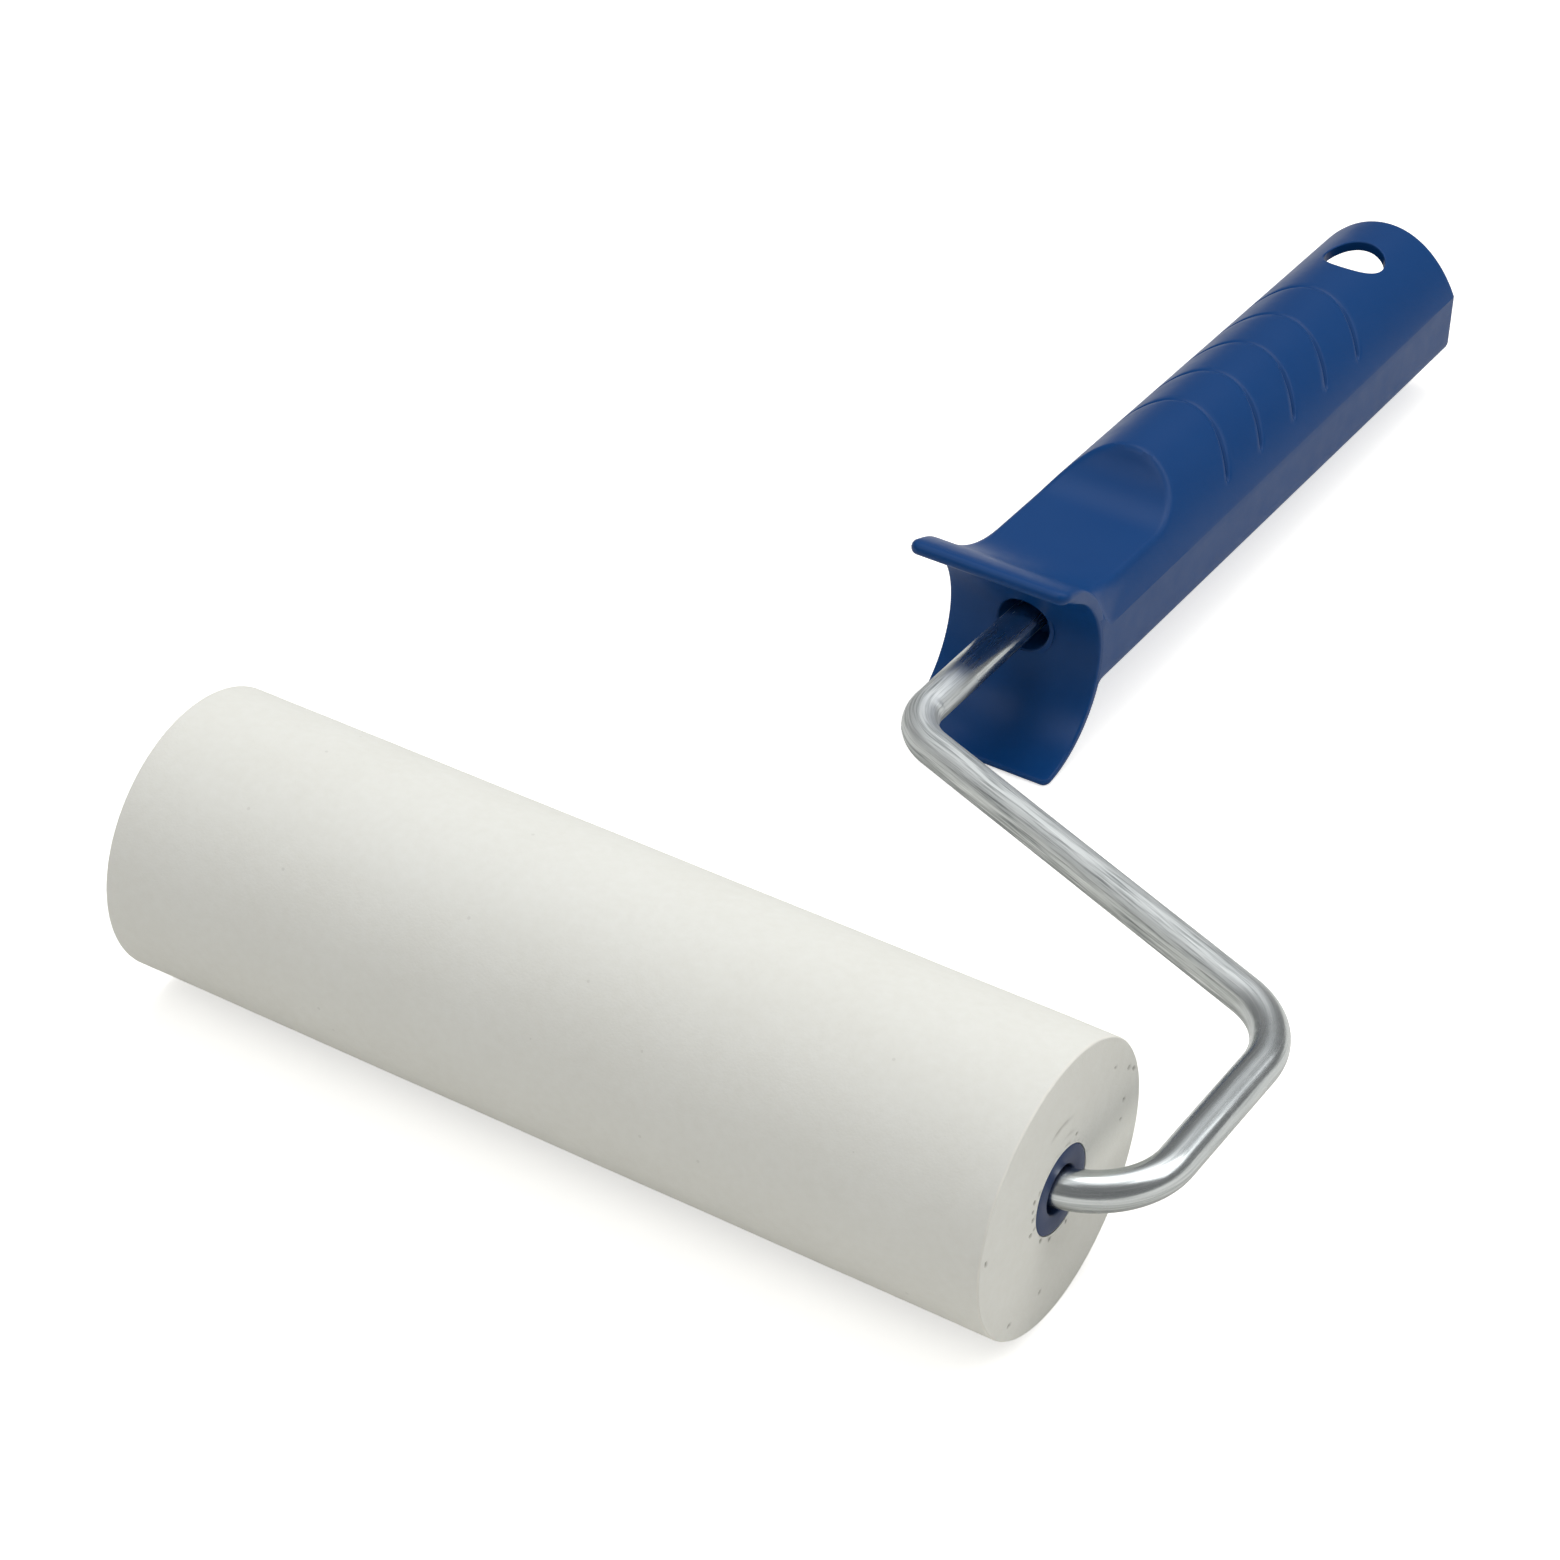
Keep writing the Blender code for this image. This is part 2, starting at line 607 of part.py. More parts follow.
def build_cavity(parent):
    """The hollow of the grip, open at the rear, which leaves the wire's boss and its webs standing."""
    front_s = SCOOP_FLOOR_S + GUARD_WALL
    mouth_s = REAR_S - OVERCUT
    rings = [grip_ring(s, grip_depth(s), GRIP_WALL) for s in (front_s, mouth_s)]
    # The mouth runs straight out, so that it meets the rear end squarely
    rings.append([(x, REAR_S + OVERCUT, n) for x, _, n in rings[-1]])
    cavity = add_object("cavity", skin(rings), parent)
    under = THUMB_FLOOR - GRIP_WALL
    hinge = (THUMB_END_S, THUMB_FLOOR + THUMB_REAR_RADIUS)
    rear = arc(hinge, THUMB_REAR_RADIUS + GRIP_WALL, -math.pi / 2, 0.0, FILLET_STEPS)
    sky = max(CREST_FRONT, hinge[1]) + OVERCUT
    outline = [(GUARD_S, under), *rear, (rear[-1][0], sky), (GUARD_S, sky)]
    roof = add_object("thumb_roof", extruded(outline, GRIP_WIDTH_FRONT), parent)
    along = Vector((0.0, 1.0, 0.0))
    boss = drum(Vector((0.0, 0.0, -MOUTH_DROP)), BOSS_RADIUS, along, GUARD_S, BOSS_END_S, TURNED_SIDES)
    web_end = BOSS_END_S - WEB_SETBACK
    web = WEB_THICKNESS / 2
    level = [(GUARD_S, -web), (web_end, -web), (web_end, web), (GUARD_S, web)]
    tall = max(CREST_FRONT, GRIP_DEPTH_FRONT) + OVERCUT
    upright = [(GUARD_S, -tall), (web_end, -tall), (web_end, tall), (GUARD_S, tall)]
    stays = [
        roof,
        add_object("boss", boss, parent),
        add_object("level_web", extruded(level, GRIP_WIDTH_FRONT), parent),
        add_object("upright_web", extruded(upright, web), parent),
    ]
    for stay in stays:
        combine(cavity, stay, "DIFFERENCE")
    return cavity


def build_socket(parent):
    """The wire's bore through the boss, with a wide mouth and slots for the ears."""
    way = Vector((0.0, 1.0, 0.0))
    mouth_end = SCOOP_FLOOR_S + MOUTH_DEPTH
    rings = []
    for s in (GUARD_S, mouth_end):
        rings.append(oval(Vector((0.0, s, -MOUTH_DROP)), way, MOUTH_RADIUS, MOUTH_RADIUS))
    sections = [
        (mouth_end, SOCKET_RADIUS, SOCKET_RADIUS),
        *tail_sections(FIT_GAP, SOCKET_RADIUS),
        (BOSS_END_S + OVERCUT, SOCKET_RADIUS, SOCKET_RADIUS),
    ]
    rings += [oval(Vector((0.0, s, 0.0)), way, flat, tall) for s, flat, tall in sections]
    return add_object("wire_socket", skin(rings), parent)


def build_collar(parent):
    """The low ring round the wire's mouth, where the boss stands out of the scoop."""
    start = SCOOP_FLOOR_S - COLLAR_RISE
    end = SCOOP_FLOOR_S + GUARD_WALL / 2
    ring = drum(Vector((0.0, 0.0, -MOUTH_DROP)), BOSS_RADIUS, Vector((0.0, 1.0, 0.0)), start, end, TURNED_SIDES)
    return add_object("wire_collar", ring, parent)


def build_hang_hole(parent):
    """The hang hole, through the crown and the floor of the grip."""
    centre = Vector((0.0, REAR_S - HANG_HOLE_INSET, 0.0))
    high = CREST_FRONT + OVERCUT
    low = -GRIP_DEPTH_FRONT - OVERCUT
    hole = drum(centre, HANG_HOLE_DIAMETER / 2, Vector((0.0, 0.0, 1.0)), low, high, TURNED_SIDES)
    return add_object("hang_hole", hole, parent)


def groove_rings(crest_s):
    """The rings of one groove cutter, which follows the crown in a leaning plane."""
    wide, tall, centre, _ = crown_shape(crest_s, 0.0)
    start = math.acos(GROOVE_REACH / wide)
    rings = []
    for step in range(GROOVE_STEPS + 1):
        angle = start + (math.pi - 2 * start) * step / GROOVE_STEPS
        outward = Vector((math.cos(angle) / wide, 0.0, math.sin(angle) / tall)).normalized()
        lean = GROOVE_LEAN * tall * (1 - math.sin(angle))
        place = Vector((wide * math.cos(angle), crest_s - lean, centre + tall * math.sin(angle)))
        slope = GROOVE_LEAN * tall * math.cos(angle)
        way = Vector((-wide * math.sin(angle), slope, tall * math.cos(angle))).normalized()
        across = way.cross(outward).normalized()
        core = place + outward * GROOVE_LIFT
        ring = []
        for side in range(GROOVE_SIDES):
            turn = 2 * math.pi * (side + 0.5) / GROOVE_SIDES
            spoke = across * math.cos(turn) + outward * math.sin(turn)
            ring.append(core + spoke * GROOVE_RADIUS)
        rings.append(ring)
    return rings


def build_grooves(parent):
    """All grip grooves as one cutter of separate tubes."""
    bm = bmesh.new()
    for index in range(GROOVE_COUNT):
        skin(groove_rings(SCOOP_FLOOR_S + GROOVE_START + index * GROOVE_PITCH), bm)
    return add_object("grip_grooves", bm, parent)


def build_handle(parent):
    """The moulded handle: grip and guard in one, hollowed from the rear and scooped at the front."""
    handle = build_grip_body(parent)
    combine(handle, build_thumb_rest(parent), "DIFFERENCE")
    combine(handle, build_guard(parent), "UNION")
    combine(handle, build_scoop(parent), "DIFFERENCE")
    combine(handle, build_collar(parent), "UNION")
    combine(handle, build_cavity(parent), "DIFFERENCE")
    combine(handle, build_socket(parent), "DIFFERENCE")
    combine(handle, build_hang_hole(parent), "DIFFERENCE")
    combine(handle, build_grooves(parent), "DIFFERENCE")
    return handle


def main():
    """Builds the frame, then the roller that turns on its axle."""
    clear_scene()
    frame_plane = make_empty("frame_plane", AXLE_PLACE, -PITCH)
    build_wire(frame_plane)
    build_handle(frame_plane)
    build_washer(frame_plane)
    build_clip(frame_plane)
    roller_axis = make_empty("roller_axis", AXLE_PLACE)
    build_sleeve(roller_axis)
    build_core_tube(roller_axis)
    build_near_bush(roller_axis)
    build_far_bush(roller_axis)
    build_end_plug(roller_axis)


if __name__ == "__main__":
    main()
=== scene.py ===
"""Paint roller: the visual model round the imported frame, with its finishes, light and camera.

The wire frame and the handle are modelled in the frame's own plane, as the part's source draws them:
x along the axle, s square to it towards the handle's rear end, and n up from the plane. A finished
piece is then carried into the row frame through its mesh, so its object stays at the origin.
All sizes are in metres.
"""

import json
import logging
import math
from collections.abc import Callable, Iterator
from contextlib import contextmanager
from dataclasses import dataclass
from enum import Enum

import bmesh
import bpy
import numpy as np
from mathutils import Matrix, Vector, noise


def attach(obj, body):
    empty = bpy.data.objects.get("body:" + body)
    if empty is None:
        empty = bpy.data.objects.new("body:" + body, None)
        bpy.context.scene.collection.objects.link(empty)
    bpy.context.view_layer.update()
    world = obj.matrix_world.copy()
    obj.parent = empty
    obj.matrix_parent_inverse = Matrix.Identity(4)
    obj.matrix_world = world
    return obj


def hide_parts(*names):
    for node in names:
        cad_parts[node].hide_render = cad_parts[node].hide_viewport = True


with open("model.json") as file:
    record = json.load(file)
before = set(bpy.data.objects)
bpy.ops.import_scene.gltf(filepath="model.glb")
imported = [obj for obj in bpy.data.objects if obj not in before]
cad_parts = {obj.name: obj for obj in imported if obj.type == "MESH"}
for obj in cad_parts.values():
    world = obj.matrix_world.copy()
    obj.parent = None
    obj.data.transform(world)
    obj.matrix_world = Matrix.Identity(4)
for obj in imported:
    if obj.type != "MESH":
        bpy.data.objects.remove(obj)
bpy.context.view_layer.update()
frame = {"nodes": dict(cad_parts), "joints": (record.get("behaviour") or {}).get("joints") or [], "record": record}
LOG = logging.getLogger("paint_roller")
UP = Vector((0.0, 0.0, 1.0))

# How near two points are to count as one, and a point to a plane, a surface or a circle to lie on it.
SAME_POINT = 1e-7
ON_PLANE = 1e-6
ON_SURFACE = 1e-5
ON_CIRCLE = 2e-5
# How near the axle, or the sleeve's skin, a face or an edge is to be picked by it.
NEARBY = 1e-4
# The least share of a normal along the axle that makes a face an end face.
END_FACING = 0.9
# How much a place past a run's end counts against that run when a point of the rod is unbent.
STRAY_COST = 10.0
# The hub's blue is greyer than the handle's.
HUB_COLOUR = (0.028, 0.053, 0.142, 1.0)
HUB_DEEP_COLOUR = (0.024, 0.046, 0.124, 1.0)


class Pick(Enum):
    """What the edit mode selects."""

    VERT = "VERT"
    EDGE = "EDGE"
    FACE = "FACE"


class Join(Enum):
    """How one solid is combined with another."""

    UNION = "UNION"
    DIFFERENCE = "DIFFERENCE"


class Body(Enum):
    """The two bodies of the part."""

    FRAME = "frame"
    ROLLER = "roller"


class Slot(Enum):
    """The record's material slots, by name."""

    FOAM = "foam"
    BLUE_PLASTIC = "blue_plastic"
    ZINC_WIRE = "zinc_wire"


class Mark(Enum):
    """The attributes that a mesh holds for its finish to read."""

    # Painted shade in the foam's pits, torn bore and rub dents.
    HOLLOW_SHADE = "hollow"
    # Painted highlight on the foam's rounded rims.
    RIM_HIGHLIGHT = "worn_rim"
    UNBENT = "unbent"


def deselect() -> None:
    """Deselects every object."""
    bpy.ops.object.select_all(action="DESELECT")


def only(obj: bpy.types.Object) -> None:
    """Selects one object alone.

    Args:
        obj: The object, which also becomes the active one.
    """
    deselect()
    obj.select_set(True)
    bpy.context.view_layer.objects.active = obj


@contextmanager
def editing(obj: bpy.types.Object) -> Iterator[None]:
    """Opens an object in edit mode with nothing selected, and closes it at the end.

    Args:
        obj: The object to work on.

    Yields:
        Nothing, while the object is open.
    """
    only(obj)
    bpy.ops.object.mode_set(mode="EDIT")
    bpy.ops.mesh.select_all(action="DESELECT")
    yield
    bpy.ops.object.mode_set(mode="OBJECT")


def choose(obj: bpy.types.Object, kind: Pick, test: Callable[..., bool]) -> None:
    """Selects, in edit mode, the elements that pass a test, and nothing else.

    Args:
        obj: The object that is open in edit mode.
        kind: Whether vertices, edges or faces are tested.
        test: Says of one bmesh element whether it is selected.
    """
    bpy.ops.mesh.select_mode(type=kind.value)
    bpy.ops.mesh.select_all(action="DESELECT")
    bm = bmesh.from_edit_mesh(obj.data)
    elements = {Pick.VERT: bm.verts, Pick.EDGE: bm.edges, Pick.FACE: bm.faces}[kind]
    for element in [element for element in elements if test(element)]:
        element.select_set(True)
    bm.select_flush_mode()
    bmesh.update_edit_mesh(obj.data)


def extrude(step: tuple[float, float, float]) -> None:
    """Extrudes the selection by one straight step."""
    bpy.ops.mesh.extrude_region_move(TRANSFORM_OT_translate={"value": step})


def mend_normals() -> None:
    """Turns all faces of the open mesh outwards."""
    bpy.ops.mesh.select_all(action="SELECT")
    bpy.ops.mesh.normals_make_consistent(inside=False)


def close_ends() -> None:
    """Fills the open rings of the mesh in edit mode, and turns all its faces outwards."""
    bpy.ops.mesh.select_mode(type=Pick.VERT.value)
    bpy.ops.mesh.select_all(action="DESELECT")
    bpy.ops.mesh.select_non_manifold()
    bpy.ops.mesh.fill_holes(sides=0)
    mend_normals()


def named(name: str) -> bpy.types.Object:
    """Names the active object and its mesh.

    Args:
        name: The name of both.

    Returns:
        The object.
    """
    obj = bpy.context.active_object
    obj.name = name
    obj.data.name = name
    return obj


def settle(obj: bpy.types.Object, matrix: Matrix) -> None:
    """Moves a mesh and leaves its object at the origin.

    Args:
        obj: The object.
        matrix: Where its mesh goes.
    """
    obj.data.transform(matrix)
    obj.matrix_world = Matrix.Identity(4)
    obj.data.update()


def shade(obj: bpy.types.Object, angle: float) -> None:
    """Shades obj smooth, with edges sharper than the angle left crisp."""
    only(obj)
    bpy.ops.object.shade_smooth_by_angle(angle=angle, keep_sharp_edges=True)


def combine(target: bpy.types.Object, other: bpy.types.Object, join: Join) -> None:
    """Applies a Boolean to target and removes the other object.

    Args:
        target: The object that changes.
        other: The solid that is added or cut away.
        join: Whether it is added or cut away.
    """
    only(target)
    modifier = target.modifiers.new(other.name, "BOOLEAN")
    modifier.operation = join.value
    modifier.object = other
    modifier.solver = "EXACT"
    bpy.ops.object.modifier_apply(modifier=modifier.name)
    mesh = other.data
    bpy.data.objects.remove(other, do_unlink=True)
    bpy.data.meshes.remove(mesh)


def wrap_net(name: str, rings: np.ndarray) -> bpy.types.Object:
    """Wraps a primitive grid round closed rings and closes its two ends.

    Args:
        name: The new object's name.
        rings: Points in an array of shape (rings, points round, 3).

    Returns:
        The closed object, with its faces outwards.
    """
    count, around = rings.shape[:2]
    deselect()
    bpy.ops.mesh.primitive_grid_add(x_subdivisions=around, y_subdivisions=count - 1, size=1.0)
    obj = named(name)
    flat = np.empty(len(obj.data.vertices) * 3)
    obj.data.vertices.foreach_get("co", flat)
    places = flat.reshape(-1, 3)
    column = np.rint((places[:, 0] + 0.5) * around).astype(int) % around
    row = np.rint((places[:, 1] + 0.5) * (count - 1)).astype(int)
    obj.data.vertices.foreach_set("co", rings[row, column].ravel())
    obj.data.update()
    with editing(obj):
        bpy.ops.mesh.select_all(action="SELECT")
        bpy.ops.mesh.remove_doubles(threshold=SAME_POINT)
        close_ends()
    return obj


def smoothstep(low: float, high: float, value: np.ndarray | float) -> np.ndarray:
    """A soft step from 0 at low to 1 at high."""
    share = np.clip((np.asarray(value, float) - low) / (high - low), 0.0, 1.0)
    return share * share * (3 - 2 * share)


def soft_min(first: np.ndarray, second: np.ndarray, reach: float) -> np.ndarray:
    """The lower of two heights, rounded over where they cross."""
    blend = np.clip(0.5 + 0.5 * (second - first) / reach, 0.0, 1.0)
    return second + (first - second) * blend - reach * blend * (1 - blend)


def ellipse_ring(centre: Vector, across: Vector, upward: Vector, sides: int) -> np.ndarray:
    """Points of an ellipse with the two half axes across and upward."""
    turns = np.linspace(0.0, 2 * math.pi, sides, endpoint=False)[:, None]
    return np.array(centre) + np.cos(turns) * np.array(across) + np.sin(turns) * np.array(upward)


@dataclass(frozen=True)
class FramePlane:
    """The tilted plane that the wire frame and the handle lie in."""

    axle: Vector
    tilt: float

    @classmethod
    def read(cls) -> "FramePlane":
        """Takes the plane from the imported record's joint and rear mount.

        Returns:
            The plane through the axle, tilted as the handle is.
        """
        record = frame["record"]
        axle = Vector(frame["joints"][0]["pos_m"])
        rear = next(mount for mount in record["mounts"] if mount["name"] == "rear_rim")
        return cls(axle, math.atan2(-rear["axis"][2], rear["axis"][1]))

    def matrix(self) -> Matrix:
        """Carries plane coordinates into the row frame."""
        return Matrix.Translation(self.axle) @ Matrix.Rotation(-self.tilt, 4, "X")


class NodeBoard:
    """Adds and links the nodes of one tree."""

    # The Mix node's colour sockets by their places, because its value sockets have the same names.
    MIX_FIRST = 6
    MIX_SECOND = 7
    MIX_RESULT = 2

    def __init__(self, tree: bpy.types.NodeTree) -> None:
        """Keeps the tree that is worked on."""
        self.tree = tree

    def add(self, kind: str, values: dict | None = None, **settings: object) -> bpy.types.Node:
        """Adds a node.

        Args:
            kind: The node's type without its ShaderNode prefix.
            values: Values or sockets for its inputs, by the input's name or place.
            settings: Properties of the node itself.

        Returns:
            The new node.
        """
        prefix = "" if kind.startswith("Node") else "ShaderNode"
        node = self.tree.nodes.new(prefix + kind)
        for key, value in settings.items():
            setattr(node, key, value)
        for key, value in (values or {}).items():
            self.feed(node.inputs[key], value)
        return node

    def feed(self, socket: bpy.types.NodeSocket, value: object) -> None:
        """Feeds one input.

        Args:
            socket: The input.
            value: A socket to link it to, or its own value.
        """
        if isinstance(value, bpy.types.NodeSocket):
            self.tree.links.new(value, socket)
        else:
            socket.default_value = value

    def math(self, operation: str, *values: object, clamp: bool = False) -> bpy.types.NodeSocket:
        """Adds a Math node and returns its result."""
        node = self.add("Math", dict(enumerate(values)), operation=operation, use_clamp=clamp)
        return node.outputs[0]

    def mix(self, share: object, first: object, second: object) -> bpy.types.NodeSocket:
        """Mixes two colours.

        Args:
            share: How much of the second colour shows.
            first: The first colour.
            second: The second colour.

        Returns:
            The mixed colour.
        """
        node = self.add("Mix", data_type="RGBA")
        self.feed(node.inputs[0], share)
        self.feed(node.inputs[self.MIX_FIRST], first)
        self.feed(node.inputs[self.MIX_SECOND], second)
        return node.outputs[self.MIX_RESULT]

    def ramp(self, value: object, low: float, high: float) -> bpy.types.NodeSocket:
        """Maps low to high onto 0 to 1, softly and clamped."""
        values = {"Value": value, "From Min": low, "From Max": high}
        return self.add("MapRange", values, interpolation_type="SMOOTHSTEP").outputs[0]

    def place(self, group: bpy.types.NodeTree, values: dict) -> bpy.types.NodeSocket:
        """Places a shared node group.

        Args:
            group: The group.
            values: Values or sockets for its inputs, by name.

        Returns:
            The group's one output.
        """
        node = self.tree.nodes.new("ShaderNodeGroup")
        node.node_tree = group
        for key, value in values.items():
            self.feed(node.inputs[key], value)
        return node.outputs[0]


@dataclass(frozen=True)
class Cloud:
    """How fine and how deep one soft mottle is."""

    scale: float
    depth: float = 1.0


@dataclass(frozen=True)
class Specks:
    """How close, how large and how frequent one scatter of specks is."""

    scale: float
    size: float
    share: float


@dataclass(frozen=True)
class Streaks:
    """How fine, how drawn out and how frequent one set of rub marks is."""

    fineness: float
    stretch: float
    share: float


@dataclass(frozen=True)
class Relief:
    """How deep and how strong one bump is."""

    depth: float
    strength: float


class Effects:
    """The shader node groups that several finishes share."""

    NOISE_MEAN = 0.5
    RUB_CONTRAST = 3.0

    def __init__(self) -> None:
        """Builds each group once."""
        self.mottle = self.make_mottle()
        self.pits = self.make_pits()
        self.rubs = self.make_rubs()

    @staticmethod
    def start(name: str, inputs: dict[str, float], output: str) -> tuple[NodeBoard, dict, Callable]:
        """Starts a group with a Vector, some plain inputs and one output.

        Args:
            name: The group's name.
            inputs: Its value inputs with their defaults.
            output: The name of its one value output.

        Returns:
            The board, the input sockets by name, and a function that ends the group with its result.
        """
        tree = bpy.data.node_groups.new(name, "ShaderNodeTree")
        tree.interface.new_socket("Vector", in_out="INPUT", socket_type="NodeSocketVector")
        for key, value in inputs.items():
            socket = tree.interface.new_socket(key, in_out="INPUT", socket_type="NodeSocketFloat")
            socket.default_value = value
        tree.interface.new_socket(output, in_out="OUTPUT", socket_type="NodeSocketFloat")
        board = NodeBoard(tree)
        source = board.add("NodeGroupInput")
        sink = board.add("NodeGroupOutput")
        sockets = {key: source.outputs[key] for key in ("Vector", *inputs)}
        return board, sockets, lambda result: board.feed(sink.inputs[0], result)

    def make_mottle(self) -> bpy.types.NodeTree:
        """Makes soft cloudy variation round zero, of a given size and depth.

        Returns:
            The group.
        """
        board, given, end = self.start("soft_mottle", {"Scale": 60.0, "Depth": 1.0}, "Value")
        values = {"Vector": given["Vector"], "Scale": given["Scale"], "Detail": 3.0, "Roughness": 0.55}
        cloud = board.add("TexNoise", values)
        centred = board.math("SUBTRACT", cloud.outputs["Fac"], self.NOISE_MEAN)
        end(board.math("MULTIPLY", centred, given["Depth"]))
        return board.tree

    def make_pits(self) -> bpy.types.NodeTree:
        """Makes round specks of a given size, kept in only a share of their cells.

        Returns:
            The group.
        """
        inputs = {"Scale": 900.0, "Size": 0.2, "Share": 0.1}
        board, given, end = self.start("scattered_specks", inputs, "Mask")
        values = {"Vector": given["Vector"], "Scale": given["Scale"]}
        cells = board.add("TexVoronoi", values)
        dot = board.math("LESS_THAN", cells.outputs["Distance"], given["Size"])
        lot = board.add("SeparateColor", {0: cells.outputs["Color"]}).outputs[0]
        kept = board.math("LESS_THAN", lot, given["Share"])
        end(board.math("MULTIPLY", dot, kept))
        return board.tree

    def make_rubs(self) -> bpy.types.NodeTree:
        """Makes fine rub marks, drawn out along the given vector's z axis.

        Returns:
            The group.
        """
        inputs = {"Fineness": 4000.0, "Stretch": 0.02, "Share": 0.3}
        board, given, end = self.start("rub_marks", inputs, "Mask")
        stretch = board.add("CombineXYZ", {0: 1.0, 1: 1.0, 2: given["Stretch"]}).outputs[0]
        drawn = board.add("VectorMath", {0: given["Vector"], 1: stretch}, operation="MULTIPLY").outputs[0]
        values = {"Vector": drawn, "Scale": given["Fineness"], "Detail": 2.0, "Roughness": 0.6}
        streak = board.add("TexNoise", values).outputs["Fac"]
        low = board.math("SUBTRACT", 1.0, given["Share"])
        above = board.math("SUBTRACT", streak, low, clamp=True)
        end(board.math("MULTIPLY", above, self.RUB_CONTRAST, clamp=True))
        return board.tree

    def cloud(self, board: NodeBoard, place: object, look: Cloud) -> bpy.types.NodeSocket:
        """Places the soft mottle and returns its value."""
        return board.place(self.mottle, {"Vector": place, "Scale": look.scale, "Depth": look.depth})

    def specks(self, board: NodeBoard, place: object, look: Specks) -> bpy.types.NodeSocket:
        """Places the scattered specks and returns their mask."""
        values = {"Vector": place, "Scale": look.scale, "Size": look.size, "Share": look.share}
        return board.place(self.pits, values)

    def streaks(self, board: NodeBoard, place: object, look: Streaks) -> bpy.types.NodeSocket:
        """Places the rub marks and returns their mask."""
        values = {"Vector": place, "Fineness": look.fineness, "Stretch": look.stretch, "Share": look.share}
        return board.place(self.rubs, values)


@dataclass(frozen=True)
class Finish:
    """What all finishes have in common: the shared effects and a material with one Principled shader."""

    effects: Effects

    @staticmethod
    def start(name: str) -> tuple[bpy.types.Material, NodeBoard, bpy.types.Node, bpy.types.NodeSocket]:
        """Starts a material.

        Args:
            name: The material's name.

        Returns:
            The material, its board, its Principled shader and the Object coordinates.
        """
        material = bpy.data.materials.new(name)
        material.use_nodes = True
        board = NodeBoard(material.node_tree)
        shader = material.node_tree.nodes["Principled BSDF"]
        place = board.add("TexCoord").outputs["Object"]
        return material, board, shader, place

    @staticmethod
    def bump(board: NodeBoard, shader: bpy.types.Node, height: object, relief: Relief) -> None:
        """Feeds a height, in units of the relief's depth, to the shader's normal."""
        values = {"Height": height, "Distance": relief.depth, "Strength": relief.strength}
        board.feed(shader.inputs["Normal"], board.add("Bump", values).outputs[0])


@dataclass(frozen=True)
class FoamFinish(Finish):
    """Warm white foam rubber with a ground skin."""

    colour: tuple = (0.862, 0.866, 0.82, 1.0)
    shade_colour: tuple = (0.80, 0.795, 0.735, 1.0)
    # Painted highlight: the rounded rims are drawn lighter, where the edge catches the light.
    rim_highlight_colour: tuple = (0.90, 0.885, 0.82, 1.0)
    # Painted shade in the pores, the pits, the torn bore and the rub dents.
    pit_shade_colour: tuple = (0.36, 0.35, 0.31, 1.0)
    broad_cloud: Cloud = Cloud(45.0, 0.9)
    fine_cloud: Cloud = Cloud(700.0, 0.8)
    shade_share: float = 0.35
    pores: Specks = Specks(520.0, 0.14, 0.03)
    # How much painted shade darkens the pores.
    pore_shade: float = 0.16
    roughness: float = 0.95
    gloss: float = 0.15
    grain: Cloud = Cloud(2600.0)
    relief: Relief = Relief(0.00012, 0.35)

    def material(self, name: str) -> bpy.types.Material:
        """Makes the foam material, which reads the painted highlight on the foam's rims and the painted shade in
        its hollows.

        Args:
            name: The material's name.

        Returns:
            The material.
        """
        material, board, shader, place = self.start(name)
        broad = self.effects.cloud(board, place, self.broad_cloud)
        fine = self.effects.cloud(board, place, self.fine_cloud)
        shift = board.math("ADD", board.math("ADD", broad, fine), self.shade_share, clamp=True)
        colour = board.mix(shift, self.colour, self.shade_colour)
        pores = self.effects.specks(board, place, self.pores)
        # Painted shade in the pores.
        colour = board.mix(board.math("MULTIPLY", pores, self.pore_shade), colour, self.pit_shade_colour)
        # Painted highlight along the sleeve's rounded rims.
        rim_light = board.add("Attribute", attribute_name=Mark.RIM_HIGHLIGHT.value).outputs["Fac"]
        colour = board.mix(rim_light, colour, self.rim_highlight_colour)
        # Painted shade in the pits, the torn bore and the rub dents of the end faces.
        hollow = board.add("Attribute", attribute_name=Mark.HOLLOW_SHADE.value).outputs["Fac"]
        colour = board.mix(hollow, colour, self.pit_shade_colour)
        board.feed(shader.inputs["Base Color"], colour)
        board.feed(shader.inputs["Roughness"], self.roughness)
        board.feed(shader.inputs["Specular IOR Level"], self.gloss)
        grain = self.effects.cloud(board, place, self.grain)
        self.bump(board, shader, board.math("SUBTRACT", grain, pores), self.relief)
        return material


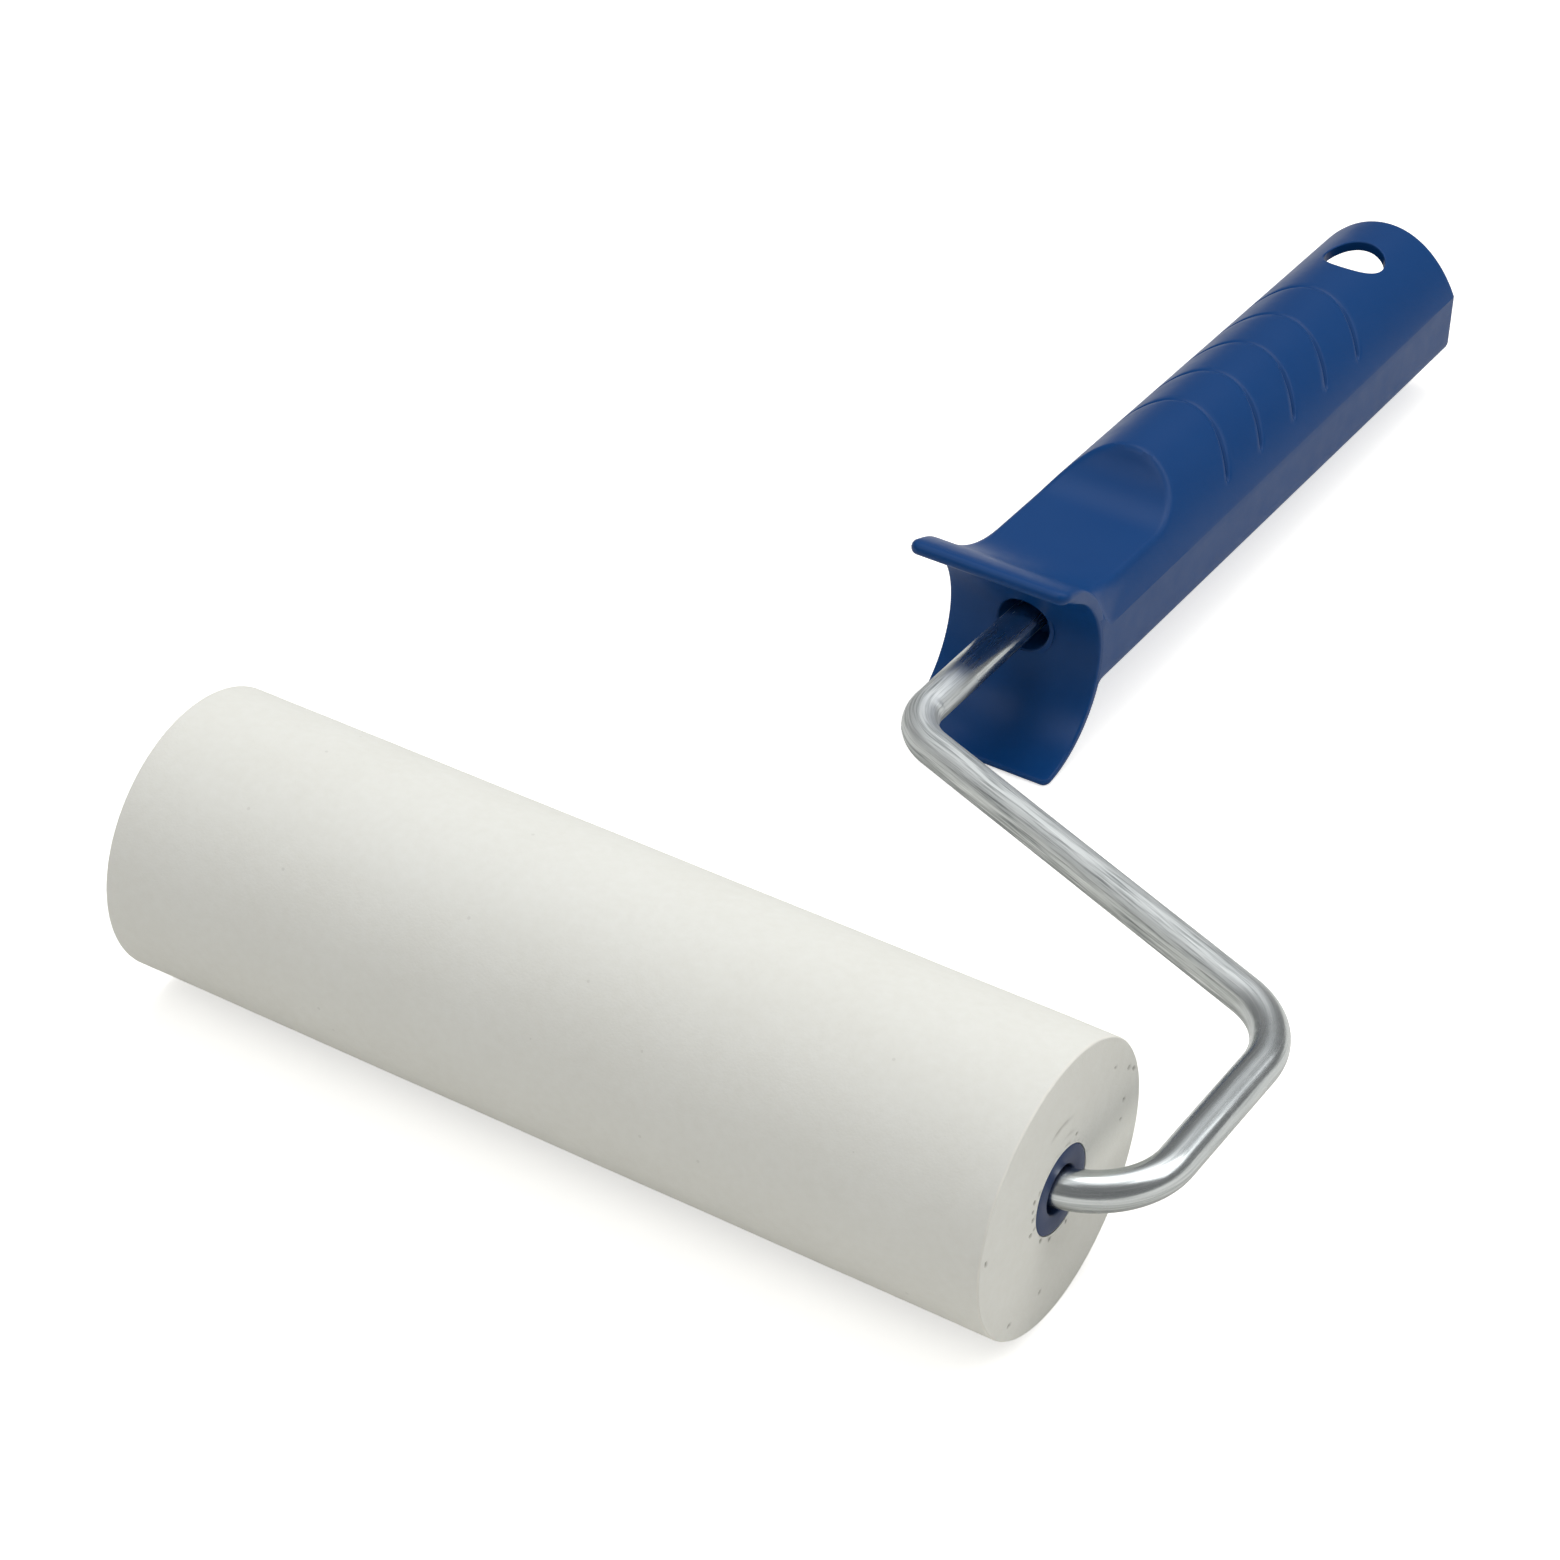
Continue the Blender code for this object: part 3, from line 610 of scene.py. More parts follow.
@dataclass(frozen=True)
class BluePlastic(Finish):
    """Blue moulded polypropylene with a dull satin skin."""

    colour: tuple = (0.0050, 0.0555, 0.205, 1.0)
    deep_colour: tuple = (0.0042, 0.0500, 0.190, 1.0)
    rub_colour: tuple = (0.045, 0.105, 0.27, 1.0)
    broad_cloud: Cloud = Cloud(55.0, 1.4)
    deep_share: float = 0.5
    rubs: Streaks = Streaks(900.0, 0.08, 0.28)
    rub_strength: float = 0.25
    roughness: float = 0.36
    rough_cloud: Cloud = Cloud(240.0, 0.16)
    bending: float = 1.26
    grain: Cloud = Cloud(4200.0)
    relief: Relief = Relief(0.00002, 0.35)

    def material(self, name: str) -> bpy.types.Material:
        """Makes the blue plastic material.

        Args:
            name: The material's name.

        Returns:
            The material.
        """
        material, board, shader, place = self.start(name)
        broad = self.effects.cloud(board, place, self.broad_cloud)
        deep = board.math("ADD", broad, self.deep_share, clamp=True)
        colour = board.mix(deep, self.colour, self.deep_colour)
        rubs = self.effects.streaks(board, place, self.rubs)
        colour = board.mix(board.math("MULTIPLY", rubs, self.rub_strength), colour, self.rub_colour)
        board.feed(shader.inputs["Base Color"], colour)
        cloud = self.effects.cloud(board, place, self.rough_cloud)
        board.feed(shader.inputs["Roughness"], board.math("ADD", cloud, self.roughness))
        board.feed(shader.inputs["IOR"], self.bending)
        grain = self.effects.cloud(board, place, self.grain)
        self.bump(board, shader, grain, self.relief)
        return material


@dataclass(frozen=True)
class ZincWire(Finish):
    """Bright zinc plate on drawn wire, with streaks along the wire, one stretch rubbed dull, painted shade on the
    underside and painted glints in some streaks.
    """

    colour: tuple = (0.585, 0.62, 0.63, 1.0)
    dull_colour: tuple = (0.735, 0.765, 0.765, 1.0)
    dark_line: tuple = (0.24, 0.262, 0.268, 1.0)
    # Partly real drawn streaks and partly painted glint: light lines that stand in for highlights on the wire.
    streak_glint_colour: tuple = (0.92, 0.94, 0.94, 1.0)
    # Painted shade: the wire's underside is drawn darker, in place of the darker floor it reflects.
    underside_shade_colour: tuple = (0.335, 0.355, 0.35, 1.0)
    underside_shade_heights: tuple = (0.0011, -0.0010)
    rubbed: tuple = (0.185, 0.215, 0.292, 0.304)
    dark_streaks: Streaks = Streaks(2300.0, 0.04, 0.55)
    glint_streaks: Streaks = Streaks(2900.0, 0.03, 0.50)
    glint_shift: tuple = (0.37, 0.11, 0.53)
    plain_strength: float = 0.5
    rubbed_strength: float = 0.55
    roughness: float = 0.21
    rough_cloud: Cloud = Cloud(260.0, 0.12)
    dark_rough: float = 0.12
    rubbed_rough: float = 0.34
    relief: Relief = Relief(0.00001, 0.3)

    def material(self, name: str) -> bpy.types.Material:
        """Makes the zinc material, whose streaks follow the wire's unbent length.

        Args:
            name: The material's name.

        Returns:
            The material.
        """
        material, board, shader, place = self.start(name)
        unbent = board.add("Attribute", attribute_name=Mark.UNBENT.value).outputs["Vector"]
        dark = self.effects.streaks(board, unbent, self.dark_streaks)
        apart = board.add("VectorMath", {0: unbent, 1: self.glint_shift}, operation="ADD").outputs[0]
        glint = self.effects.streaks(board, apart, self.glint_streaks)
        split = board.add("SeparateXYZ", {0: unbent}).outputs
        start, full, fading, end = self.rubbed
        rubbed = board.ramp(split["Z"], start, full)
        rubbed = board.math("SUBTRACT", rubbed, board.ramp(split["Z"], fading, end))
        colour = board.mix(rubbed, self.colour, self.dull_colour)
        # Painted shade darkens the wire towards its underside.
        colour = board.mix(board.ramp(split["Y"], *self.underside_shade_heights), colour, self.underside_shade_colour)
        strength = board.math("MULTIPLY", rubbed, self.rubbed_strength)
        strength = board.math("ADD", strength, self.plain_strength)
        colour = board.mix(board.math("MULTIPLY", dark, strength, clamp=True), colour, self.dark_line)
        # Light streak lines, partly real streaks and partly painted glint.
        colour = board.mix(board.math("MULTIPLY", glint, strength, clamp=True), colour, self.streak_glint_colour)
        board.feed(shader.inputs["Base Color"], colour)
        board.feed(shader.inputs["Metallic"], 1.0)
        cloud = self.effects.cloud(board, place, self.rough_cloud)
        rough = board.math("ADD", board.math("MULTIPLY", dark, self.dark_rough), cloud)
        rough = board.math("ADD", rough, board.math("MULTIPLY", rubbed, self.rubbed_rough))
        board.feed(shader.inputs["Roughness"], board.math("ADD", rough, self.roughness))
        self.bump(board, shader, dark, self.relief)
        return material


@dataclass(frozen=True)
class SpringSteel(Finish):
    """Darker stamped steel of the hidden clip and washer."""

    colour: tuple = (0.42, 0.42, 0.43, 1.0)
    scale_colour: tuple = (0.26, 0.25, 0.24, 1.0)
    scale_cloud: Cloud = Cloud(420.0, 1.6)
    scale_share: float = 0.4
    roughness: float = 0.3
    scale_rough: float = 0.2
    grain: Cloud = Cloud(3000.0)
    relief: Relief = Relief(0.00002, 0.3)

    def material(self, name: str) -> bpy.types.Material:
        """Makes the spring steel material.

        Args:
            name: The material's name.

        Returns:
            The material.
        """
        material, board, shader, place = self.start(name)
        cloud = self.effects.cloud(board, place, self.scale_cloud)
        share = board.math("ADD", cloud, self.scale_share, clamp=True)
        board.feed(shader.inputs["Base Color"], board.mix(share, self.colour, self.scale_colour))
        board.feed(shader.inputs["Metallic"], 1.0)
        rough = board.math("MULTIPLY", share, self.scale_rough)
        board.feed(shader.inputs["Roughness"], board.math("ADD", rough, self.roughness))
        grain = self.effects.cloud(board, place, self.grain)
        self.bump(board, shader, grain, self.relief)
        return material


@dataclass(frozen=True)
class CorePlastic(Finish):
    """Plain grey extruded tube, drawn along the axle."""

    colour: tuple = (0.32, 0.33, 0.34, 1.0)
    line_colour: tuple = (0.24, 0.25, 0.26, 1.0)
    lines: Streaks = Streaks(1500.0, 0.01, 0.5)
    roughness: float = 0.55
    line_rough: float = 0.15
    relief: Relief = Relief(0.00002, 0.3)

    def material(self, name: str) -> bpy.types.Material:
        """Makes the core plastic material.

        Args:
            name: The material's name.

        Returns:
            The material.
        """
        material, board, shader, place = self.start(name)
        turned = board.add("Mapping", {"Vector": place, "Rotation": (0.0, math.pi / 2, 0.0)}).outputs[0]
        lines = self.effects.streaks(board, turned, self.lines)
        board.feed(shader.inputs["Base Color"], board.mix(lines, self.colour, self.line_colour))
        rough = board.math("MULTIPLY", lines, self.line_rough)
        board.feed(shader.inputs["Roughness"], board.math("ADD", rough, self.roughness))
        self.bump(board, shader, lines, self.relief)
        return material


@dataclass(frozen=True)
class Ripple:
    """An uneven wave of a given fineness and height."""

    scale: float
    height: float = 1.0
    shift: tuple = (0.0, 0.0, 0.0)

    def at(self, place: Vector) -> float:
        """The wave's value at one place."""
        return noise.noise(place * self.scale + Vector(self.shift)) * self.height


@dataclass(frozen=True)
class FoamFaults:
    """The foam's small faults: a wavy skin, a painted highlight on the rims, a torn bore, and the near face's pits
    and rubs.

    A pit is written as its y, its z and its radius. A rub is written as its radius, the angles at which it
    starts and ends, and its strength. Places have the axle as their origin.
    """

    bore: float
    broad_wave: Ripple = Ripple(55.0, 0.00005)
    fine_wave: Ripple = Ripple(260.0, 0.000015)
    skin_sink: float = 0.00004
    # How strong the painted highlight on the rounded rims is, and how it varies.
    rim_light_mean: float = 0.75
    rim_light_grain: Ripple = Ripple(300.0, 0.5)
    face_depth: float = 0.00003
    face_grain: Ripple = Ripple(420.0)
    tear_reach: float = 0.0006
    tear_grain: Ripple = Ripple(900.0, 1.0, (3.1, 0.0, 0.0))
    tear_depth: float = 0.0004
    # How much painted shade the ragged tear by the bore gets.
    tear_shade: float = 0.45
    near_pits: tuple = (
        (0.01416, 0.01175, 0.00035),
        (0.01838, 0.00883, 0.00045),
        (0.01990, 0.00757, 0.00040),
        (0.01750, 0.00349, 0.00042),
        (0.01703, 0.00033, 0.00036),
        (-0.02060, 0.00219, 0.00048),
        (-0.00425, -0.01578, 0.00042),
        (-0.01291, -0.01526, 0.00044),
        (-0.00754, 0.00335, 0.00042),
        (-0.00790, 0.00182, 0.00036),
        (-0.00765, 0.00021, 0.00046),
        (-0.00720, -0.00180, 0.00034),
        (-0.00809, -0.00229, 0.00045),
        (-0.00500, -0.00560, 0.00044),
        (-0.00232, -0.00735, 0.00040),
        (0.00364, 0.00747, 0.00038),
        (0.00224, -0.00760, 0.00034),
    )
    pit_edge: Ripple = Ripple(1700.0, 0.5)
    pit_depth: float = 0.7
    # How much painted shade fills a pit, and how fast.
    pit_shade: float = 0.85
    pit_fill: float = 1.6
    near_rubs: tuple = ((0.0120, 1.30, 1.98, 0.62), (0.0091, 1.10, 1.70, 0.26))
    rub_drift: float = 0.0004
    rub_peak: float = 0.6
    rub_half: float = 0.00032
    rub_onset: float = 0.25
    rub_release: float = 0.3
    rub_mean: float = 0.8
    rub_grain: Ripple = Ripple(700.0, 0.6)
    rub_depth: float = 0.0002

    def skin_lift(self, place: Vector) -> float:
        """How far the outer skin stands out at one place."""
        return self.broad_wave.at(place) + self.fine_wave.at(place) - self.skin_sink

    def rim_light_strength(self, place: Vector) -> float:
        """How strong the painted highlight on the rounded rim is at one place."""
        return self.rim_light_mean + self.rim_light_grain.at(place)

    def on_face(self, place: Vector) -> tuple[float, float]:
        """How deep one point of an end face is, and how much painted shade it gets.

        Args:
            place: The point.

        Returns:
            The depth in metres and the painted shade from 0 to 1, in the tear by the bore and in the near face's
            pits and rub dents.
        """
        ragged = math.exp(-(((place.yz.length - self.bore) / self.tear_reach) ** 2))
        tear = max(0.0, self.tear_grain.at(place)) * ragged
        depth = self.face_depth * (1 + self.face_grain.at(place)) + self.tear_depth * tear
        dark = self.tear_shade * tear
        if place.x < 0:
            return depth, dark
        for y, z, radius in self.near_pits:
            away = math.hypot(place.y - y, place.z - z) / radius
            bowl = max(0.0, 1 - away**2 * (1 + self.pit_edge.at(place)))
            depth += self.pit_depth * radius * bowl
            dark = max(dark, self.pit_shade * min(1.0, self.pit_fill * bowl))
        for rub in self.near_rubs:
            strength = self.rub_strength(place, *rub)
            depth += self.rub_depth * strength
            # A rub dent also gets painted shade.
            dark = max(dark, strength)
        return depth, min(dark, 1.0)

    def rub_strength(self, place: Vector, radius: float, first: float, last: float, most: float) -> float:
        """How strong one rub mark is at one place.

        Args:
            place: The point.
            radius: How far from the axle the mark runs.
            first: The angle at which it starts.
            last: The angle at which it ends.
            most: Its strength.

        Returns:
            The strength there.
        """
        turn = math.atan2(place.z, place.y)
        drift = radius - self.rub_drift * ((turn - first) / (last - first) - self.rub_peak) ** 2
        groove = math.exp(-(((place.yz.length - drift) / self.rub_half) ** 2))
        onset = smoothstep(first, first + self.rub_onset, turn)
        release = 1 - smoothstep(last - self.rub_release, last, turn)
        return most * groove * float(onset * release) * (self.rub_mean + self.rub_grain.at(place))


@dataclass
class RollerSleeve:
    """The turning roller: the foam sleeve with the plastic rings that show at its ends."""

    plane: FramePlane
    foam: FoamFinish
    plastic: BluePlastic
    length: float = 0.149
    radius: float = 0.0225
    bore: float = 0.00696
    rim_round: float = 0.0004
    rim_steps: int = 4
    sides: int = 320
    long_cuts: int = 100
    face_cuts: int = 40
    hub_zone: float = 0.0095
    hub_cuts: int = 14
    spoke_slack: float = 0.9
    foam_sharp: float = math.radians(40)
    ring_radius: float = 0.0069
    ring_round: float = 0.0003
    ring_round_steps: int = 3
    ring_sharp: float = math.radians(35)
    ring_sides: int = 72
    head_length: float = 0.003
    spigot_radius: float = 0.0052
    spigot_length: float = 0.014
    spigot_round: float = 0.0004
    spigot_round_steps: int = 2
    mouth_radius: float = 0.00377
    mouth_depth: float = 0.0039
    mouth_round: float = 0.00035
    bearing_radius: float = 0.0033
    plug_length: float = 0.002
    dish_radius: float = 0.0045
    dish_depth: float = 0.0005
    dish_round: float = 0.0002
    gate_radius: float = 0.0011
    gate_depth: float = 0.0002
    cup_length: float = 0.0035
    cup_wall: float = 0.0012

    @staticmethod
    def drum(name: str, radius: float, near: float, far: float, sides: int) -> bpy.types.Object:
        """Adds a cylinder on the axle.

        Args:
            name: The object's name.
            radius: The cylinder's radius.
            near: The x of its near end.
            far: The x of its far end.
            sides: How many sides it has.

        Returns:
            The cylinder.
        """
        deselect()
        bpy.ops.mesh.primitive_cylinder_add(
            vertices=sides,
            radius=radius,
            depth=near - far,
            location=((near + far) / 2, 0.0, 0.0),
            rotation=(0.0, math.pi / 2, 0.0),
        )
        obj = named(name)
        bpy.ops.object.transform_apply(location=True, rotation=True, scale=True)
        return obj

    @staticmethod
    def end_face(obj: bpy.types.Object, x: float, radius: float) -> None:
        """Selects the flat faces of one end.

        Args:
            obj: The object that is open in edit mode.
            x: Where the end is.
            radius: How far from the axle its faces reach.
        """
        choose(
            obj,
            Pick.FACE,
            lambda face: abs(face.normal.x) > END_FACING
            and all(abs(v.co.x - x) < ON_PLANE and v.co.yz.length < radius + ON_PLANE for v in face.verts),
        )

    @staticmethod
    def rim(obj: bpy.types.Object, x: float, radius: float, offset: float, segments: int) -> None:
        """Bevels one round edge.

        Args:
            obj: The object that is open in edit mode.
            x: Where the edge is along the axle.
            radius: The edge's radius.
            offset: How wide the bevel is.
            segments: How many rows of faces it has.
        """
        choose(
            obj,
            Pick.EDGE,
            lambda edge: all(
                abs(v.co.x - x) < ON_PLANE and abs(v.co.yz.length - radius) < ON_CIRCLE for v in edge.verts
            ),
        )
        bpy.ops.mesh.bevel(offset=offset, segments=segments, affect="EDGES")

    @staticmethod
    def inset_to(start: float, end: float, sides: int) -> None:
        """Insets the selected round face from one radius to a smaller one."""
        bpy.ops.mesh.inset(thickness=(start - end) * math.cos(math.pi / sides), use_even_offset=True)

    @staticmethod
    def cut_spokes(obj: bpy.types.Object, least: float, cuts: int) -> None:
        """Cuts the radial edges of the end faces.

        Args:
            obj: The object that is open in edit mode.
            least: The length that an edge is longer than.
            cuts: How many cuts each gets.
        """
        choose(
            obj,
            Pick.EDGE,
            lambda edge: abs(edge.verts[0].co.yz.length - edge.verts[1].co.yz.length) > least,
        )
        bpy.ops.mesh.subdivide(number_cuts=cuts)

    def build_foam(self) -> bpy.types.Object:
        """Models the foam sleeve and its small faults, and dresses it.

        Returns:
            The foam sleeve.
        """
        half = self.length / 2
        obj = self.drum("foam_skin", self.radius, half, -half, self.sides)
        with editing(obj):
            for x in (half, -half):
                self.end_face(obj, x, self.radius)
                self.inset_to(self.radius, self.hub_zone, self.sides)
                self.inset_to(self.hub_zone, self.bore, self.sides)
            choose(
                obj,
                Pick.FACE,
                lambda face: abs(face.normal.x) > END_FACING
                and face.calc_center_median().yz.length < NEARBY,
            )
            bpy.ops.mesh.bridge_edge_loops()
            for x in (half, -half):
                self.rim(obj, x, self.radius, self.rim_round, self.rim_steps)
            choose(
                obj,
                Pick.EDGE,
                lambda edge: abs(edge.verts[0].co.x - edge.verts[1].co.x) > self.length / 2
                and edge.verts[0].co.yz.length > self.radius - NEARBY,
            )
            bpy.ops.mesh.subdivide(number_cuts=self.long_cuts)
            self.cut_spokes(obj, self.bore, self.face_cuts)
            self.cut_spokes(obj, (self.hub_zone - self.bore) * self.spoke_slack, self.hub_cuts)
            mend_normals()
        self.weather_foam(obj)
        shade(obj, self.foam_sharp)
        settle(obj, Matrix.Translation(self.plane.axle))
        obj.data.materials.append(self.foam.material("foam_rubber"))
        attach(obj, Body.ROLLER.value)
        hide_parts("foam_sleeve")
        return obj

    def weather_foam(self, obj: bpy.types.Object) -> None:
        """Moves the foam's points by its faults, and marks the painted highlight on the rims and the painted shade
        in the hollows.

        Args:
            obj: The foam sleeve.
        """
        half = self.length / 2
        faults = FoamFaults(self.bore)
        hollow = obj.data.attributes.new(Mark.HOLLOW_SHADE.value, "FLOAT", "POINT")
        rim_light = obj.data.attributes.new(Mark.RIM_HIGHLIGHT.value, "FLOAT", "POINT")
        for vert in obj.data.vertices:
            place = vert.co.copy()
            spread = place.yz.length
            if spread > self.radius - self.rim_round / 2:
                outward = Vector((0.0, place.y, place.z)).normalized()
                vert.co += outward * faults.skin_lift(place)
                if spread < self.radius - ON_SURFACE and abs(place.x) < half - ON_SURFACE:
                    # The rim's points get the painted highlight.
                    rim_light.data[vert.index].value = faults.rim_light_strength(place)
            if abs(place.x) > half - ON_SURFACE and spread > self.bore + ON_SURFACE:
                depth, dark = faults.on_face(place)
                vert.co.x -= math.copysign(depth, place.x)
                # The end face's dents and tear get painted shade.
                hollow.data[vert.index].value = dark
        obj.data.update()

    def build_near_ring(self) -> bpy.types.Object:
        """Models the near bush with its wide mouth and its spigot, and dresses it.

        Returns:
            The near bush.
        """
        face = self.length / 2
        head = face - self.head_length
        end = head - self.spigot_length
        sides = self.ring_sides
        inner = self.bearing_radius
        obj = self.drum("near_hub_ring", self.ring_radius, face, head, sides)
        with editing(obj):
            self.end_face(obj, head, self.ring_radius)
            self.inset_to(self.ring_radius, self.spigot_radius, sides)
            extrude((-self.spigot_length, 0.0, 0.0))
            self.inset_to(self.spigot_radius, inner, sides)
            self.end_face(obj, face, self.ring_radius)
            self.inset_to(self.ring_radius, self.mouth_radius, sides)
            extrude((-self.mouth_depth, 0.0, 0.0))
            self.inset_to(self.mouth_radius, inner, sides)
            choose(
                obj,
                Pick.FACE,
                lambda part: abs(part.normal.x) > END_FACING
                and len(part.verts) == sides
                and all(abs(v.co.yz.length - inner) < ON_CIRCLE for v in part.verts),
            )
            bpy.ops.mesh.bridge_edge_loops()
            self.rim(obj, face, self.ring_radius, self.ring_round, self.ring_round_steps)
            self.rim(obj, face, self.mouth_radius, self.mouth_round, self.ring_round_steps)
            self.rim(obj, end, self.spigot_radius, self.spigot_round, self.spigot_round_steps)
            mend_normals()
        return self.dress_ring(obj, "near_bush", "hub_blue")

    def build_end_plug(self) -> bpy.types.Object:
        """Models the far end's plug, dished outside and cupped inside, and dresses it.

        Returns:
            The end plug.
        """
        face = -self.length / 2
        head = face + self.plug_length
        sides = self.ring_sides
        cup = self.spigot_radius - self.cup_wall
        obj = self.drum("far_end_plug", self.ring_radius, head, face, sides)
        with editing(obj):
            self.end_face(obj, face, self.ring_radius)
            self.inset_to(self.ring_radius, self.dish_radius, sides)
            extrude((self.dish_depth, 0.0, 0.0))
            self.inset_to(self.dish_radius, self.gate_radius, sides)
            extrude((self.gate_depth, 0.0, 0.0))
            self.end_face(obj, head, self.ring_radius)
            self.inset_to(self.ring_radius, self.spigot_radius, sides)
            extrude((self.cup_length, 0.0, 0.0))
            self.inset_to(self.spigot_radius, cup, sides)
            extrude((-self.cup_length, 0.0, 0.0))
            self.rim(obj, face, self.ring_radius, self.ring_round, self.ring_round_steps)
            self.rim(obj, face, self.dish_radius, self.dish_round, self.ring_round_steps)
            mend_normals()
        return self.dress_ring(obj, "end_plug", "plug_blue")

    def dress_ring(self, obj: bpy.types.Object, node: str, material: str) -> bpy.types.Object:
        """Shades and dresses a plastic ring.

        Args:
            obj: The ring.
            node: The CAD node that it stands for.
            material: The name of its material.

        Returns:
            The ring.
        """
        shade(obj, self.ring_sharp)
        settle(obj, Matrix.Translation(self.plane.axle))
        obj.data.materials.append(self.plastic.material(material))
        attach(obj, Body.ROLLER.value)
        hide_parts(node)
        return obj


@dataclass(frozen=True)
class Straight:
    """A straight run of the rod: its start, its direction, its length and the rod's length before it."""

    start: Vector
    way: Vector
    length: float
    total: float

    def draw(self, skip: float = 0.0) -> None:
        """Extrudes the selected ring along the run, less what is already drawn."""
        extrude(tuple(self.way * (self.length - skip)))

    def unbend(self, flat: Vector) -> tuple[float, float]:
        """Where a point lies from the run.

        Args:
            flat: The point, in the frame's plane.

        Returns:
            How far it is to the run's side, and how far along the rod.
        """
        off = flat - self.start
        along = off.dot(self.way)
        aside = off.dot(UP.cross(self.way))
        past = max(0.0, -along, along - self.length)
        return aside + math.copysign(STRAY_COST * past, aside), self.total + along


@dataclass(frozen=True)
class Bend:
    """A bend of the rod: its start, its centre, its radius and turn, and the rod's length before it."""

    start: Vector
    centre: Vector
    radius: float
    turn: float
    left: bool
    total: float
    step: float = math.radians(3)
    least_steps: int = 4

    @property
    def length(self) -> float:
        """The rod's length in the bend."""
        return self.radius * self.turn

    @property
    def sign(self) -> int:
        """1 for a turn to the left and -1 for one to the right."""
        return 1 if self.left else -1

    def draw(self) -> None:
        """Spins the selected ring round the bend."""
        bpy.ops.mesh.spin(
            steps=max(self.least_steps, math.ceil(self.turn / self.step)),
            angle=-self.sign * self.turn,
            center=self.centre,
            axis=UP,
        )

    def unbend(self, flat: Vector) -> tuple[float, float]:
        """Where a point lies from the bend.

        Args:
            flat: The point, in the frame's plane.

        Returns:
            How far it is to the bend's side, and how far along the rod.
        """
        spoke = flat - self.centre
        first = self.start - self.centre
        angle = self.sign * math.atan2(first.cross(spoke).z, first.dot(spoke))
        aside = self.sign * (self.radius - spoke.length)
        past = max(0.0, -angle, angle - self.turn) * self.radius
        return aside + math.copysign(STRAY_COST * past, aside), self.total + angle * self.radius


